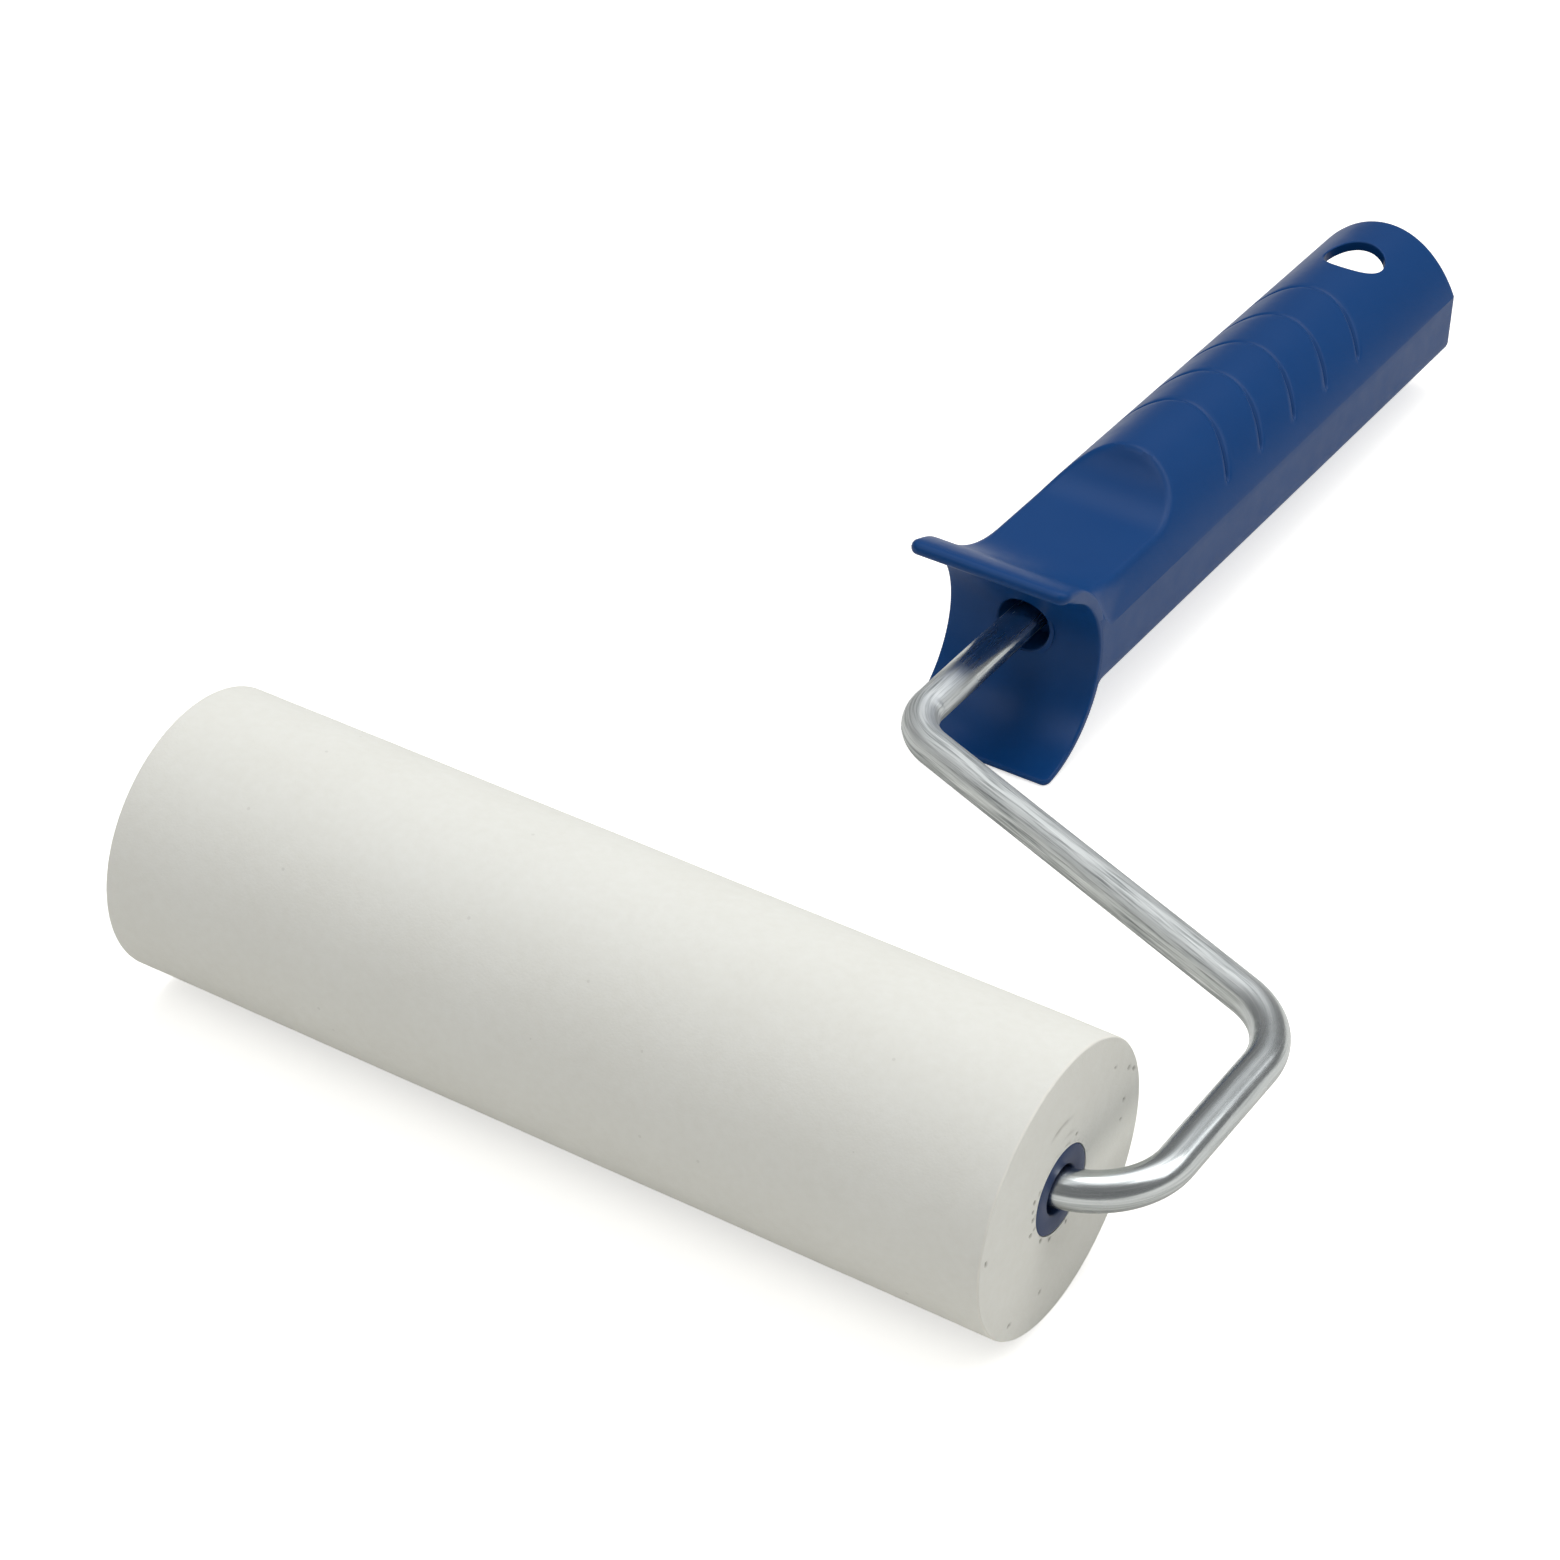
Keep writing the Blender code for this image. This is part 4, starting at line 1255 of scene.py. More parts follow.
@dataclass
class WireFrame:
    """The bent rod, from its end in the roller round to its end in the handle."""

    plane: FramePlane
    finish: ZincWire
    radius: float = 0.003
    start_x: float = -0.068
    leg_x: float = 0.0849
    leg_s: float = 0.049
    neck_s: float = 0.0834
    tail_s: float = 0.1667
    bends: tuple = (0.014, 0.015, 0.0105)
    chamfer: float = 0.0005
    ear_half: float = 0.004
    ear_thick_half: float = 0.0023
    ear_length: float = 0.006
    ear_setback: float = 0.008
    sides: int = 56
    sharp: float = math.radians(40)
    burr_share: float = 0.88
    burr_lift: float = 0.0014
    burr_size: float = 0.0007
    burr_height: float = 0.00035
    burr_reach: float = 3.0

    def corners(self) -> list[Vector]:
        """The rod's corner points before bending.

        Returns:
            The points, from the end in the roller to the end in the handle.
        """
        return [
            Vector((self.start_x, 0.0, 0.0)),
            Vector((self.leg_x, 0.0, 0.0)),
            Vector((self.leg_x, self.leg_s, 0.0)),
            Vector((0.0, self.neck_s, 0.0)),
            Vector((0.0, self.tail_s, 0.0)),
        ]

    def ear_places(self) -> tuple[float, float, float, float]:
        """Where the two ears lie along the tail.

        Returns:
            The places where they start to widen, are full, start to narrow and are gone.
        """
        end = self.tail_s - self.ear_setback
        start = end - self.ear_length
        slope = self.ear_half - self.radius
        return start - slope, start, end, end + slope

    def runs(self) -> list[Straight | Bend]:
        """The rod as straight runs and bends.

        Returns:
            The runs in order, with the tail as the last one.
        """
        corners = self.corners()
        found = []
        start = corners[0]
        total = 0.0
        for before, corner, after, radius in zip(corners, corners[1:], corners[2:], self.bends):
            inward = (corner - before).normalized()
            outward = (after - corner).normalized()
            turn = inward.angle(outward)
            left = inward.cross(outward).z > 0
            tangent = radius * math.tan(turn / 2)
            entry = corner - inward * tangent
            side = UP.cross(inward) * (1 if left else -1)
            straight = Straight(start, inward, (entry - start).length, total)
            bend = Bend(entry, entry + side * radius, radius, turn, left, total + straight.length)
            found += [straight, bend]
            total = bend.total + bend.length
            start = corner + outward * tangent
        way = (corners[-1] - corners[-2]).normalized()
        found.append(Straight(start, way, (corners[-1] - start).length, total))
        return found

    def build(self) -> bpy.types.Object:
        """Models the rod by extruding and spinning its end ring, and dresses it.

        Returns:
            The rod.
        """
        deselect()
        bpy.ops.mesh.primitive_circle_add(
            vertices=self.sides,
            radius=self.radius - self.chamfer,
            location=(self.start_x, 0.0, 0.0),
            rotation=(0.0, math.pi / 2, 0.0),
        )
        obj = named("bent_rod")
        bpy.ops.object.transform_apply(location=True, rotation=True, scale=True)
        grow = self.radius / (self.radius - self.chamfer)
        runs = self.runs()
        with editing(obj):
            bpy.ops.mesh.select_all(action="SELECT")
            extrude((self.chamfer, 0.0, 0.0))
            bpy.ops.transform.resize(value=(1.0, grow, grow))
            runs[0].draw(skip=self.chamfer)
            for run in runs[1:-1]:
                run.draw()
            self.build_tail(runs[-1])
            close_ends()
        self.mark_unbent(obj, runs)
        self.raise_burr(obj, runs[-2])
        shade(obj, self.sharp)
        settle(obj, self.plane.matrix())
        obj.data.materials.append(self.finish.material("zinc_plate"))
        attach(obj, Body.FRAME.value)
        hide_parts("wire_frame")
        return obj

    def build_tail(self, tail: Straight) -> None:
        """Extrudes the straight tail, pinched flat into two ears where the handle holds it.

        Args:
            tail: The rod's last run.
        """
        rise, ear_start, ear_end, fall = self.ear_places()
        wide = self.ear_half / self.radius
        flat = self.ear_thick_half / self.radius
        shrink = (self.radius - self.chamfer) / self.radius
        steps = [
            (rise, 1.0, 1.0),
            (ear_start, wide, flat),
            (ear_end, 1.0, 1.0),
            (fall, 1 / wide, 1 / flat),
            (self.tail_s - self.chamfer, 1.0, 1.0),
            (self.tail_s, shrink, shrink),
        ]
        place = tail.start.y
        for s, across, tall in steps:
            extrude((0.0, s - place, 0.0))
            bpy.ops.transform.resize(value=(across, 1.0, tall))
            place = s

    @staticmethod
    def mark_unbent(obj: bpy.types.Object, runs: list[Straight | Bend]) -> None:
        """Stores on each point its place on the rod as it was before bending.

        Args:
            obj: The rod.
            runs: Its runs and bends.
        """
        marks = obj.data.attributes.new(Mark.UNBENT.value, "FLOAT_VECTOR", "POINT")
        for vert in obj.data.vertices:
            flat = Vector((vert.co.x, vert.co.y, 0.0))
            aside, along = min((run.unbend(flat) for run in runs), key=lambda found: abs(found[0]))
            marks.data[vert.index].vector = (aside, vert.co.z, along)

    def raise_burr(self, obj: bpy.types.Object, bend: Bend) -> None:
        """Raises the small burr that bending left on the inside of the neck.

        Args:
            obj: The rod.
            bend: The bend at the neck.
        """
        place = bend.total + self.burr_share * bend.length
        for vert, mark in zip(obj.data.vertices, obj.data.attributes[Mark.UNBENT.value].data):
            aside, lift, length = mark.vector
            away = math.hypot(length - place, lift - self.burr_lift) / self.burr_size
            if aside * bend.sign > 0 and away < self.burr_reach:
                vert.co += vert.normal * self.burr_height * math.exp(-(away**2))
        obj.data.update()


@dataclass
class Handle:
    """The moulded handle: a hollow grip with thumb rest and grooves, and a scooped drip guard.

    A size that is written as a pair runs evenly from the scoop's floor to the rear end.
    """

    plane: FramePlane
    finish: BluePlastic
    wire: WireFrame
    guard_s: float = 0.1045
    guard_drop: float = 0.0018
    scoop_radius: float = 0.0165
    scoop_sides: int = 160
    guard_wall: float = 0.0018
    guard_half: float = 0.01412
    guard_rings: int = 64
    guard_steps: int = 25
    edge_round: float = 0.0004
    edge_steps: int = 5
    lip_wall: float = 0.0022
    lip_lift: float = 0.0006
    lip_lift_from: float = 0.86
    lip_bead_from: float = 0.75
    lip_flare: float = 0.0004
    lip_angle: float = math.radians(85)
    lip_corner: float = 0.002
    lip_rings: int = 10
    foot_wall: float = 0.0011
    foot_half: float = 0.01405
    foot_angle: float = math.radians(86)
    foot_corner: float = 0.0015
    foot_rings: int = 8
    foot_fillet: float = 0.003
    floor_s: float = 0.1210
    rear_s: float = 0.2549
    width: tuple = (0.0283, 0.0284)
    crest: tuple = (0.0160, 0.0142)
    parting: tuple = (0.0025, 0.0036)
    parting_step: float = 0.0001
    parting_from_x: float = 0.0139
    depth: tuple = (0.0084, 0.0079)
    crown_sink: float = 0.014
    crown_steps: int = 88
    corner: float = 0.0020
    corner_steps: int = 6
    wall: float = 0.0018
    wall_steps: int = 7
    belly_steps: int = 16
    rear_round: float = 0.0006
    round_steps: int = 6
    fine_end_s: float = 0.160
    fine_pitch: float = 0.0006
    ring_pitch: float = 0.0011
    rear_gap: float = 0.0003
    thumb_floor: float = 0.0083
    thumb_end_s: float = 0.1434
    thumb_rear: float = 0.0145
    thumb_rear_climb: float = 10.0
    thumb_back: float = 0.0023
    thumb_front: float = 0.026
    thumb_front_side: float = 0.004
    thumb_side: tuple = (0.0121, 0.0139)
    thumb_soft: float = 0.0009
    groove_first: float = 0.1746
    groove_pitch: float = 0.01235
    groove_count: int = 5
    groove_rings: int = 9
    groove_gap: float = 0.0004
    groove_lean: float = 0.78
    groove_depth: float = 0.00058
    groove_half: float = 0.0007
    groove_reach: float = 0.0123
    groove_end: float = 0.0005
    groove_crest_share: float = 0.34
    groove_swell: tuple = (0.003, 0.010)
    lean_after_thumb: float = 0.004
    lean_past_groove: float = 0.001
    lean_before_rear: float = 0.003
    hole_radius: float = 0.0055
    hole_s: float = 0.2398
    hole_round: float = 0.0003
    hole_sides: int = 72
    mouth_radius: float = 0.0047
    mouth_drop: float = 0.0008
    mouth_depth: float = 0.006
    mouth_rim: tuple = ((0.0001, 0.0003), (0.0002, 0.0001), (0.0005, 0.0))
    collar_rise: float = 0.0004
    collar_sides: int = 72
    boss_radius: float = 0.0057
    boss_end_s: float = 0.167
    boss_sides: int = 64
    socket_clear: float = 0.0003
    socket_sides: int = 56
    web_half: float = 0.0008
    web_setback: float = 0.004
    hollow_rings: int = 24
    hollow_steps: int = 40
    cutter_half: float = 0.03
    overcut: float = 0.003
    sharp: float = math.radians(32)

    def along(self, s: np.ndarray, ends: tuple) -> np.ndarray:
        """A size that runs evenly from the scoop's floor to the rear end."""
        return ends[0] + (ends[1] - ends[0]) * (s - self.floor_s) / (self.rear_s - self.floor_s)

    def crown(self, s: np.ndarray, inset: float) -> tuple:
        """The crown's ellipse.

        Args:
            s: Places along the grip.
            inset: How far the ellipse is drawn in.

        Returns:
            Its half width, half height, centre height and starting angle there.
        """
        half = self.along(s, self.width) / 2 - inset
        parting = self.along(s, self.parting)
        tall = self.along(s, self.crest) - inset - parting + self.crown_sink
        wide = half / np.sqrt(1 - (self.crown_sink / tall) ** 2)
        return wide, tall, parting - self.crown_sink, np.arcsin(self.crown_sink / tall)

    def groove_crests(self) -> list[float]:
        """Where the grooves cross the crest."""
        return [self.groove_first + index * self.groove_pitch for index in range(self.groove_count)]

    def lean_share(self, v: float) -> float:
        """How far the rings lean with the grooves: not at all at the thumb rest and the rear end.

        Args:
            v: The ring's place along the grip, at the crest.

        Returns:
            The share of the grooves' full lean.
        """
        first = self.groove_first - self.lean_past_groove
        last = self.groove_crests()[-1] + self.lean_past_groove
        front = smoothstep(self.thumb_end_s + self.lean_after_thumb, first, v)
        return float(front * (1 - smoothstep(last, self.rear_s - self.lean_before_rear, v)))

    def belly(self, s: float) -> float:
        """How far the grip reaches below the wire's axis, with the fillet under the guard.

        Args:
            s: A place along the grip.

        Returns:
            The depth there.
        """
        level = float(self.along(self.floor_s, self.depth))
        reach = self.scoop_radius + self.guard_wall + self.foot_fillet
        low = level + self.foot_fillet
        centre = self.guard_s + math.sqrt(reach**2 - (low - self.guard_drop) ** 2)
        if s >= centre:
            return float(self.along(s, self.depth))
        furthest = self.foot_fillet * (centre - self.guard_s) / reach
        off = min(centre - s, furthest)
        return low - math.sqrt(self.foot_fillet**2 - off**2)

    def thumb_top(self, x: np.ndarray, s: np.ndarray, n: np.ndarray) -> np.ndarray:
        """The grip's upper surface with the thumb rest sunk into the crown.

        Args:
            x: Places across the grip.
            s: Places along it.
            n: The plain crown's heights there.

        Returns:
            The heights with the rest's floor, its rear ramp and its fillet to the guard.
        """
        ramp = np.clip(s - self.thumb_end_s, 0.0, self.thumb_rear)
        rest = self.thumb_floor + self.thumb_rear - np.sqrt(self.thumb_rear**2 - ramp**2)
        beyond = np.clip(s - self.thumb_end_s - self.thumb_rear, 0.0, None)
        low = soft_min(n, rest + beyond * self.thumb_rear_climb, self.thumb_soft)
        side = smoothstep(*self.thumb_side, np.abs(x))
        soft = self.thumb_front + (self.thumb_front_side - self.thumb_front) * side
        reach = self.scoop_radius + self.thumb_back + soft
        rise = low + soft + self.guard_drop
        gap = np.sqrt(np.clip(reach**2 - rise**2, 0.0, None))
        furthest = soft * gap / reach
        off = np.clip(self.guard_s + gap - s, 0.0, furthest)
        return low + soft - np.sqrt(soft**2 - off**2)

    def groove_sink(self, v: float, x: np.ndarray) -> np.ndarray:
        """How deep the grooves cut into the crown.

        Args:
            v: The ring's place along the grip, at the crest.
            x: Places across the grip.

        Returns:
            The depths there, shallower at the crest and gone at the sides.
        """
        sink = np.zeros_like(x)
        fade = 1 - smoothstep(self.groove_reach - self.groove_end, self.groove_reach, np.abs(x))
        swell = smoothstep(*self.groove_swell, np.abs(x))
        fade = fade * (self.groove_crest_share + (1 - self.groove_crest_share) * swell)
        for crest in self.groove_crests():
            off = abs(v - crest)
            if off < self.groove_half:
                sink += self.groove_depth * fade * (0.5 + 0.5 * math.cos(math.pi * off / self.groove_half))
        return sink

    def ring(self, v: float, inset: float = 0.0) -> np.ndarray:
        """One closed ring of the grip's outer skin.

        Args:
            v: The ring's place along the grip, at the crest.
            inset: How far it is drawn in, for the rounded rear rim.

        Returns:
            Its points as (x, s, n) rows.
        """
        _, tall, _, start = self.crown(np.array(v), 0.0)
        turn = start + (math.pi - 2 * start) * np.arange(self.crown_steps + 1) / self.crown_steps
        lean = self.groove_lean * tall * self.lean_share(v)
        s = v - lean * (1 - np.sin(turn))
        wide, tall, centre, _ = self.crown(s, inset)
        sink = self.groove_sink(v, wide * np.cos(turn))
        x = (wide - sink) * np.cos(turn)
        n = self.thumb_top(x, s, centre + (tall - sink) * np.sin(turn))
        top = np.stack([x, s, n], axis=1)
        return np.concatenate([top, self.under_ring(float(v - lean * (1 - math.sin(start))), inset)])

    def under_ring(self, s: float, inset: float) -> np.ndarray:
        """The part of a ring below the parting line: two walls, two round corners and the belly.

        Args:
            s: The place along the grip.
            inset: How far the ring is drawn in.

        Returns:
            Its points as (x, s, n) rows, from the left wall's top to the right wall's.
        """
        half = float(self.along(s, self.width)) / 2 - inset
        low = inset - self.belly(s)
        round_off = self.corner - inset
        parting = float(self.along(s, self.parting))
        wall = np.linspace(parting - self.parting_step, low + round_off, self.wall_steps)
        bend = np.linspace(0.0, math.pi / 2, self.corner_steps + 1)[1:-1]
        corner_x = round_off * (1 - np.cos(bend))
        corner_n = low + round_off * (1 - np.sin(bend))
        belly = np.linspace(half - round_off, round_off - half, self.belly_steps + 1)
        side_x = np.concatenate([np.full(self.wall_steps, half), half - corner_x])
        side_n = np.concatenate([wall, corner_n])
        x = np.concatenate([-side_x, -belly, side_x[::-1]])
        n = np.concatenate([side_n, np.full(self.belly_steps + 1, low), side_n[::-1]])
        return np.stack([x, np.full(len(x), s), n], axis=1)

    def ring_list(self) -> list[float]:
        """Where the grip's rings lie, close together at the thumb rest and in each groove.

        Returns:
            The places along the grip, in order.
        """
        rear = self.rear_s - self.rear_round - self.rear_gap
        places = list(np.arange(self.guard_s + self.scoop_radius / 2, self.fine_end_s, self.fine_pitch))
        places += list(np.arange(self.fine_end_s, rear, self.ring_pitch))
        crests = self.groove_crests()
        clear = self.groove_half + self.groove_gap
        places = [v for v in places if all(abs(v - crest) > clear for crest in crests)]
        shares = np.linspace(-1.0, 1.0, self.groove_rings)
        places += [crest + share * self.groove_half for crest in crests for share in shares]
        return sorted(places)

    def build_grip(self) -> bpy.types.Object:
        """Models the grip's outer skin as one closed net with a rounded rear rim.

        Returns:
            The solid grip.
        """
        rings = [self.ring(v) for v in self.ring_list()]
        for turn in np.linspace(0.0, math.pi / 2, self.round_steps):
            inset = self.rear_round * (1 - math.cos(turn))
            rings.append(self.ring(self.rear_s - self.rear_round * (1 - math.sin(turn)), inset))
        return wrap_net("moulded_handle", np.array(rings))

    def guard_ring(self, angle: float, inner: float, outer: float, half: float, soft: float) -> np.ndarray:
        """One section of the guard plate: a rectangle with rounded corners, stood on the scoop's circle.

        Args:
            angle: Where on the circle it stands.
            inner: The radius of its inner side.
            outer: The radius of its outer side.
            half: Half its width.
            soft: The radius of its corners, at most half its thickness.

        Returns:
            Its points as (x, s, n) rows.
        """
        soft = min(soft, (outer - inner) / 2)
        bend = np.linspace(0.0, math.pi / 2, self.edge_steps)
        across = np.linspace(-1.0, 1.0, self.guard_steps)[1:-1] * (half - soft)
        corner_x = half - soft + soft * np.sin(bend)
        corner_r = soft - soft * np.cos(bend)
        x = np.concatenate([across, corner_x, corner_x[::-1], -across, -corner_x, -corner_x[::-1]])
        low = np.full(len(across), inner)
        high = np.full(len(across), outer)
        rise = inner + corner_r
        fall = outer - corner_r
        radius = np.concatenate([low, rise, fall[::-1], high, fall, rise[::-1]])
        s = self.guard_s + radius * math.cos(angle)
        n = radius * math.sin(angle) - self.guard_drop
        return np.stack([x, s, n], axis=1)

    @staticmethod
    def tip_half(half: float, corner: float, along: float) -> float:
        """Half the plate's thickness near a rounded tip."""
        past = max(0.0, along - corner + half)
        return math.sqrt(max(0.0, half**2 - past**2))

    def foot_tip(self) -> list[np.ndarray]:
        """The sections of the guard's thin foot, from its rounded tip upwards.

        Returns:
            The sections in order.
        """
        rings = []
        middle = self.scoop_radius + self.foot_wall / 2
        for turn in np.linspace(math.pi / 2, 0.0, self.foot_rings):
            along = self.foot_corner * math.sin(turn)
            half = self.foot_half - self.foot_corner * (1 - math.cos(turn))
            thin = self.tip_half(self.foot_wall / 2, self.foot_corner, along)
            angle = (self.foot_corner - along) / self.scoop_radius - self.foot_angle
            rings.append(self.guard_ring(angle, middle - thin, middle + thin, half, self.edge_round))
        return rings

    def guard_plate(self) -> list[np.ndarray]:
        """The guard's sections between foot and lip, where the wall thickens towards the lip's bead.

        Returns:
            The sections in order.
        """
        rings = []
        lowest = self.foot_corner / self.scoop_radius - self.foot_angle
        highest = self.lip_angle - self.lip_corner / self.scoop_radius
        for share in np.linspace(0.0, 1.0, self.guard_rings)[1:-1]:
            angle = lowest + (highest - lowest) * share
            foot = max(0.0, angle / lowest)
            head = max(0.0, angle / highest)
            lift = self.lip_lift * float(smoothstep(self.lip_lift_from, 1.0, head))
            bead = float(smoothstep(self.lip_bead_from, 1.0, head))
            wall = self.guard_wall + (self.foot_wall - self.guard_wall) * foot**2
            wall += (self.lip_wall + self.lip_lift - self.guard_wall) * head**2
            half = self.guard_half + (self.foot_half - self.guard_half) * foot**2 + self.lip_flare * head**4
            soft = self.edge_round + (self.lip_wall / 2 - self.edge_round) * bead
            inner = self.scoop_radius + lift
            rings.append(self.guard_ring(angle, inner, self.scoop_radius + wall, half, soft))
        return rings

    def lip_tip(self) -> list[np.ndarray]:
        """The sections of the guard's top lip, up to its rounded tip.

        Returns:
            The sections in order.
        """
        rings = []
        middle = self.scoop_radius + self.lip_lift + self.lip_wall / 2
        for turn in np.linspace(0.0, math.pi / 2, self.lip_rings):
            along = self.lip_corner * math.sin(turn)
            half = self.guard_half + self.lip_flare - self.lip_corner * (1 - math.cos(turn))
            thin = self.tip_half(self.lip_wall / 2, self.lip_corner, along)
            angle = self.lip_angle - (self.lip_corner - along) / self.scoop_radius
            rings.append(self.guard_ring(angle, middle - thin, middle + thin, half, self.lip_wall / 2))
        return rings

    def build_guard(self) -> bpy.types.Object:
        """Models the drip guard's curved plate with its round lip and thin foot."""
        return wrap_net("guard_plate", np.array(self.foot_tip() + self.guard_plate() + self.lip_tip()))

    @staticmethod
    def bar(name: str, radius: float, start: Vector, end: Vector, sides: int) -> bpy.types.Object:
        """Adds a round bar from one point to another.

        Args:
            name: The object's name.
            radius: The bar's radius.
            start: The centre of one end.
            end: The centre of the other end.
            sides: How many sides it has.

        Returns:
            The bar.
        """
        way = end - start
        deselect()
        bpy.ops.mesh.primitive_cylinder_add(vertices=sides, radius=radius, depth=way.length)
        obj = named(name)
        turn = way.to_track_quat("Z", "Y").to_matrix().to_4x4()
        settle(obj, Matrix.Translation((start + end) / 2) @ turn)
        return obj

    def inner_ring(self, s: float) -> np.ndarray:
        """One ring of the hollow, a wall's thickness inside the outer skin.

        Args:
            s: Its place along the grip.

        Returns:
            Its points as (x, s, n) rows.
        """
        wide, tall, centre, start = self.crown(np.array(s), self.wall)
        turn = start + (math.pi - 2 * start) * np.arange(self.hollow_steps + 1) / self.hollow_steps
        x = wide * np.cos(turn)
        ramp = s - self.thumb_end_s
        reach = self.thumb_rear + self.wall
        if ramp <= 0:
            roof = self.thumb_floor - self.wall
        elif ramp < reach:
            roof = self.thumb_floor + self.thumb_rear - math.sqrt(reach**2 - ramp**2)
        else:
            roof = math.inf
        n = np.minimum(centre + tall * np.sin(turn), roof)
        half = float(self.along(s, self.width)) / 2 - self.wall
        low = self.wall - self.belly(s)
        x = np.concatenate([x, [-half, half]])
        n = np.concatenate([n, [low, low]])
        return np.stack([x, np.full(len(x), s), n], axis=1)

    def build_cavity(self) -> bpy.types.Object:
        """Models the hollow of the grip, less the wire's boss and its webs.

        Returns:
            The cutter.
        """
        front = self.floor_s + self.guard_wall
        places = np.linspace(front, self.rear_s - self.overcut, self.hollow_rings)
        rings = [self.inner_ring(float(s)) for s in places]
        last = rings[-1].copy()
        last[:, 1] = self.rear_s + self.overcut
        cavity = wrap_net("cavity", np.array([*rings, last]))
        low = Vector((0.0, self.guard_s, -self.mouth_drop))
        high = Vector((0.0, self.boss_end_s, -self.mouth_drop))
        boss = self.bar("boss", self.boss_radius, low, high, self.boss_sides)
        combine(cavity, boss, Join.DIFFERENCE)
        combine(cavity, self.web("level_web", self.cutter_half, self.web_half), Join.DIFFERENCE)
        combine(cavity, self.web("upright_web", self.web_half, self.cutter_half), Join.DIFFERENCE)
        return cavity

    def web(self, name: str, half_x: float, half_n: float) -> bpy.types.Object:
        """Adds one web that holds the boss, as a flat plate along the grip.

        Args:
            name: The object's name.
            half_x: Half its width.
            half_n: Half its height.

        Returns:
            The plate.
        """
        end = self.boss_end_s - self.web_setback
        deselect()
        bpy.ops.mesh.primitive_cube_add(size=1.0)
        obj = named(name)
        stretch = Matrix.Diagonal((2 * half_x, end - self.guard_s, 2 * half_n, 1.0))
        settle(obj, Matrix.Translation((0.0, (end + self.guard_s) / 2, 0.0)) @ stretch)
        return obj

    def build_socket(self) -> bpy.types.Object:
        """Models the wire's bore: a wide mouth with a softened rim, then the bore with slots for the ears.

        Returns:
            The cutter.
        """
        clear = self.socket_clear
        bore = self.wire.radius + clear
        slot = self.wire.ear_half + clear
        front = self.floor_s - self.collar_rise
        mouth_end = self.floor_s + self.mouth_depth
        rise, ear_start, ear_end, fall = self.wire.ear_places()
        mouth = [(front + back, self.mouth_radius + wider) for back, wider in self.mouth_rim]
        mouth = [(self.guard_s, mouth[0][1]), *mouth, (mouth_end, self.mouth_radius)]
        rows = [(s, radius, radius, -self.mouth_drop) for s, radius in mouth]
        rows += [
            (mouth_end, bore, bore, 0.0),
            (rise - clear, bore, bore, 0.0),
            (ear_start - clear, slot, bore, 0.0),
            (ear_end + clear, slot, bore, 0.0),
            (fall + clear, bore, bore, 0.0),
            (self.boss_end_s + self.overcut, bore, bore, 0.0),
        ]
        rings = []
        for s, half_x, half_n, n in rows:
            across = Vector((half_x, 0.0, 0.0))
            rings.append(ellipse_ring(Vector((0.0, s, n)), across, UP * half_n, self.socket_sides))
        return wrap_net("wire_socket", np.array(rings))

    def build_hole(self) -> bpy.types.Object:
        """Models the hang hole's cutter, whose rim is rounded over where it meets the crown.

        Returns:
            The cutter.
        """
        turns = np.linspace(0.0, 2 * math.pi, self.hole_sides, endpoint=False)
        rings = []
        bends = np.linspace(0.0, math.pi / 2, self.round_steps)
        low = -self.belly(self.hole_s)
        rows = [(bend, True) for bend in bends[::-1]] + [(bend, False) for bend in bends]
        for bend, under in rows:
            radius = self.hole_radius + self.hole_round * (1 - math.cos(bend))
            x = radius * np.cos(turns)
            s = self.hole_s + radius * np.sin(turns)
            wide, tall, centre, _ = self.crown(s, 0.0)
            top = centre + tall * np.sqrt(1 - (x / wide) ** 2)
            sink = self.hole_round * (1 - math.sin(bend))
            n = np.full(len(turns), low + sink) if under else top - sink
            rings.append(np.stack([x, s, n], axis=1))
        first = rings[0].copy()
        last = rings[-1].copy()
        first[:, 2] -= self.overcut
        last[:, 2] += self.overcut
        return wrap_net("hang_hole", np.array([first, *rings, last]))

    def build(self) -> bpy.types.Object:
        """Models the whole handle and dresses it.

        Returns:
            The handle.
        """
        obj = self.build_grip()
        centre = Vector((0.0, self.guard_s, -self.guard_drop))
        reach = Vector((self.cutter_half, 0.0, 0.0))
        trim = self.scoop_radius + self.guard_wall / 2
        scoop = self.bar("scoop", trim, centre - reach, centre + reach, self.scoop_sides)
        combine(obj, scoop, Join.DIFFERENCE)
        combine(obj, self.build_guard(), Join.UNION)
        front = Vector((0.0, self.floor_s - self.collar_rise, -self.mouth_drop))
        back = Vector((0.0, self.floor_s + self.guard_wall / 2, -self.mouth_drop))
        collar = self.bar("wire_collar", self.boss_radius, front, back, self.collar_sides)
        combine(obj, collar, Join.UNION)
        combine(obj, self.build_cavity(), Join.DIFFERENCE)
        combine(obj, self.build_socket(), Join.DIFFERENCE)
        combine(obj, self.build_hole(), Join.DIFFERENCE)
        self.mark_parting(obj)
        shade(obj, self.sharp)
        settle(obj, self.plane.matrix())
        obj.data.materials.append(self.finish.material("handle_blue"))
        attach(obj, Body.FRAME.value)
        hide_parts("handle")
        return obj

    def mark_parting(self, obj: bpy.types.Object) -> None:
        """Marks the mould's parting line sharp.

        Args:
            obj: The handle.
        """
        with editing(obj):
            choose(obj, Pick.EDGE, self.on_parting)
            bpy.ops.mesh.mark_sharp()

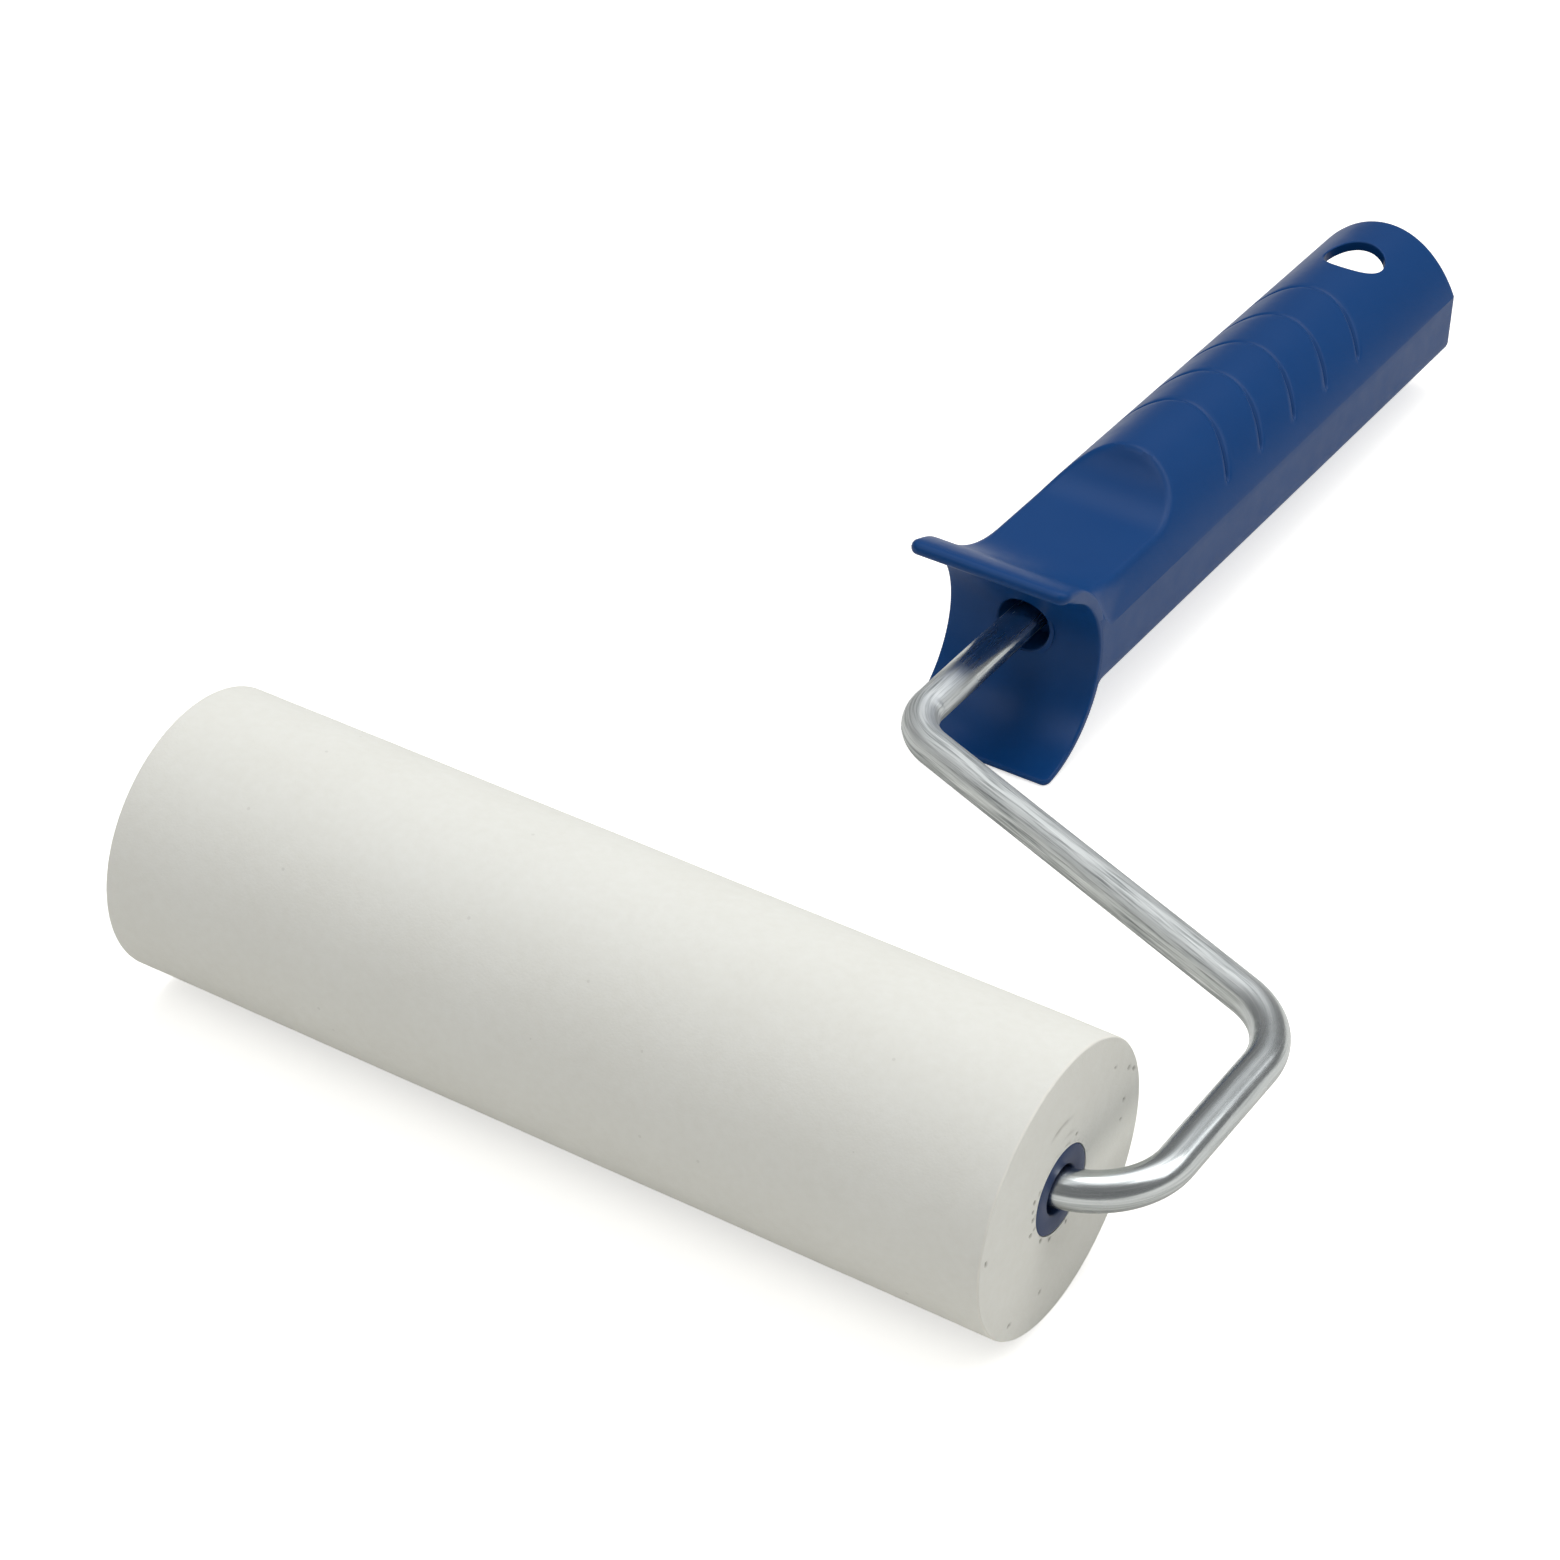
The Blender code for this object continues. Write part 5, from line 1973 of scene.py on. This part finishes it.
    def on_parting(self, edge: bmesh.types.BMEdge) -> bool:
        """Whether an edge lies on the parting line.

        Args:
            edge: The edge, in the frame's plane.

        Returns:
            True if both its ends do.
        """
        return all(
            abs(v.co.z - float(self.along(v.co.y, self.parting))) < ON_SURFACE
            and abs(v.co.x) > self.parting_from_x
            for v in edge.verts
        )


@dataclass
class HiddenFittings:
    """The CAD pieces inside the roller, which keep their shape and get their own finishes."""

    plastic: BluePlastic
    core: CorePlastic
    steel: SpringSteel

    def dress(self) -> None:
        """Gives each hidden piece its material."""
        finishes = {
            "core_tube": self.core.material("core_grey"),
            "far_bush": self.plastic.material("bush_blue"),
            "thrust_washer": self.steel.material("washer_steel"),
            "axle_clip": self.steel.material("clip_steel"),
        }
        for node, material in finishes.items():
            obj = frame["nodes"][node]
            obj.data.materials.clear()
            obj.data.materials.append(material)
            LOG.info("dressed %s", node)


@dataclass(frozen=True)
class Softbox:
    """One soft square lamp."""

    name: str
    place: tuple
    size: float
    power: float

    def hang(self, aim: Vector) -> None:
        """Adds the lamp to the scene.

        Args:
            aim: The point that it faces.
        """
        light = bpy.data.lights.new(self.name, "AREA")
        light.shape = "SQUARE"
        light.size = self.size
        light.energy = self.power
        lamp = bpy.data.objects.new(self.name, light)
        bpy.context.scene.collection.objects.link(lamp)
        lamp.location = self.place
        lamp.rotation_euler = (Vector(self.place) - aim).to_track_quat("Z", "Y").to_euler()


@dataclass
class Studio:
    """The pale floor, the soft lamps, the room's light and the camera."""

    azimuth: float = math.radians(31.665809)
    elevation: float = math.radians(36.897631)
    roll: float = math.radians(0.988877)
    aim: tuple = (-0.0299408, -0.0327359, 0.0)
    distance: float = 0.7098858
    lens: float = 100.9385
    sensor: float = 36.0
    clip_start: float = 0.01
    floor_drop: float = 0.00005
    floor_size: float = 16.0
    floor_colour: tuple = (0.86, 0.848, 0.815, 1.0)
    floor_glow: float = 0.60
    mirror_glow: float = 0.05
    room_low: float = 0.30
    room_high: float = 4.85
    room_focus: float = 16.0
    room_way: tuple = (-0.05, 0.30, 0.95)
    lamps: tuple = (
        Softbox("key_softbox", (0.70, 0.42, 0.90), 0.80, 3.9),
        Softbox("front_softbox", (-0.25, -0.60, 1.05), 0.60, 2.9),
    )

    def build(self) -> None:
        """Sets up the floor, the room's light, the lamps and the camera."""
        self.build_floor()
        self.build_world()
        for lamp in self.lamps:
            lamp.hang(Vector(self.aim))
        self.build_camera()
        bpy.context.scene.view_settings.view_transform = "Standard"

    def build_floor(self) -> None:
        """Adds the floor, which shows white and keeps the shadow."""
        deselect()
        bpy.ops.mesh.primitive_plane_add(size=self.floor_size, location=(0.0, 0.0, -self.floor_drop))
        floor = named("studio_floor")
        bpy.ops.object.transform_apply(location=True, rotation=True, scale=True)
        material = bpy.data.materials.new("pale_floor")
        material.use_nodes = True
        board = NodeBoard(material.node_tree)
        material.node_tree.nodes.clear()
        lit = board.add("BsdfDiffuse", {"Color": self.floor_colour}).outputs[0]
        path = board.add("LightPath")
        shown = board.math("MULTIPLY", path.outputs["Is Camera Ray"], self.floor_glow)
        mirrored = board.math("MAXIMUM", path.outputs["Is Glossy Ray"], path.outputs["Is Transmission Ray"])
        mirrored = board.math("MULTIPLY", mirrored, self.mirror_glow)
        glow = board.add("Emission", {"Strength": board.math("MAXIMUM", shown, mirrored)}).outputs[0]
        both = board.add("AddShader", {0: lit, 1: glow}).outputs[0]
        board.add("OutputMaterial", {"Surface": both})
        floor.data.materials.append(material)

    def build_world(self) -> None:
        """Makes the room's light, strongest from above, which the camera sees as white."""
        world = bpy.data.worlds.new("studio_room")
        world.use_nodes = True
        board = NodeBoard(world.node_tree)
        world.node_tree.nodes.clear()
        camera = board.add("LightPath").outputs["Is Camera Ray"]
        way = board.add("TexCoord").outputs["Generated"]
        values = {0: way, 1: Vector(self.room_way).normalized()}
        toward = board.add("VectorMath", values, operation="DOT_PRODUCT").outputs["Value"]
        toward = board.math("POWER", board.math("MAXIMUM", toward, 0.0), self.room_focus)
        level = board.math("ADD", board.math("MULTIPLY", toward, self.room_high), self.room_low)
        background = board.add("Background", {"Strength": board.math("MAXIMUM", camera, level)}).outputs[0]
        board.add("OutputWorld", {"Surface": background})
        bpy.context.scene.world = world

    def build_camera(self) -> None:
        """Places the camera at the photograph's viewing angle."""
        flat = math.cos(self.elevation)
        back_x = math.sin(self.azimuth) * flat
        back_y = -math.cos(self.azimuth) * flat
        back = Vector((back_x, back_y, math.sin(self.elevation)))
        right = (-back).cross(UP).normalized()
        upward = right.cross(-back)
        rolled_right = right * math.cos(self.roll) + upward * math.sin(self.roll)
        rolled_up = upward * math.cos(self.roll) - right * math.sin(self.roll)
        data = bpy.data.cameras.new("photo_camera")
        data.lens = self.lens
        data.sensor_width = self.sensor
        data.clip_start = self.clip_start
        camera = bpy.data.objects.new("photo_camera", data)
        bpy.context.scene.collection.objects.link(camera)
        turn = Matrix((rolled_right, rolled_up, back)).transposed().to_4x4()
        camera.matrix_world = Matrix.Translation(Vector(self.aim) + back * self.distance) @ turn
        bpy.context.scene.camera = camera


def main() -> None:
    """Builds the sub-assemblies in order and reports each piece."""
    logging.basicConfig(level=logging.INFO, format="%(name)s: %(message)s")
    plane = FramePlane.read()
    effects = Effects()
    plastic = BluePlastic(effects)
    hub = BluePlastic(effects, colour=HUB_COLOUR, deep_colour=HUB_DEEP_COLOUR)
    roller = RollerSleeve(plane, FoamFinish(effects), hub)
    wire = WireFrame(plane, ZincWire(effects))
    handle = Handle(plane, plastic, wire)
    steps = (roller.build_foam, roller.build_near_ring, roller.build_end_plug, wire.build, handle.build)
    for step in steps:
        piece = step()
        LOG.info("built %s with %d faces", piece.name, len(piece.data.polygons))
    HiddenFittings(plastic, CorePlastic(effects), SpringSteel(effects)).dress()
    Studio().build()
    LOG.info("set up the studio")


if __name__ == "__main__":
    main()
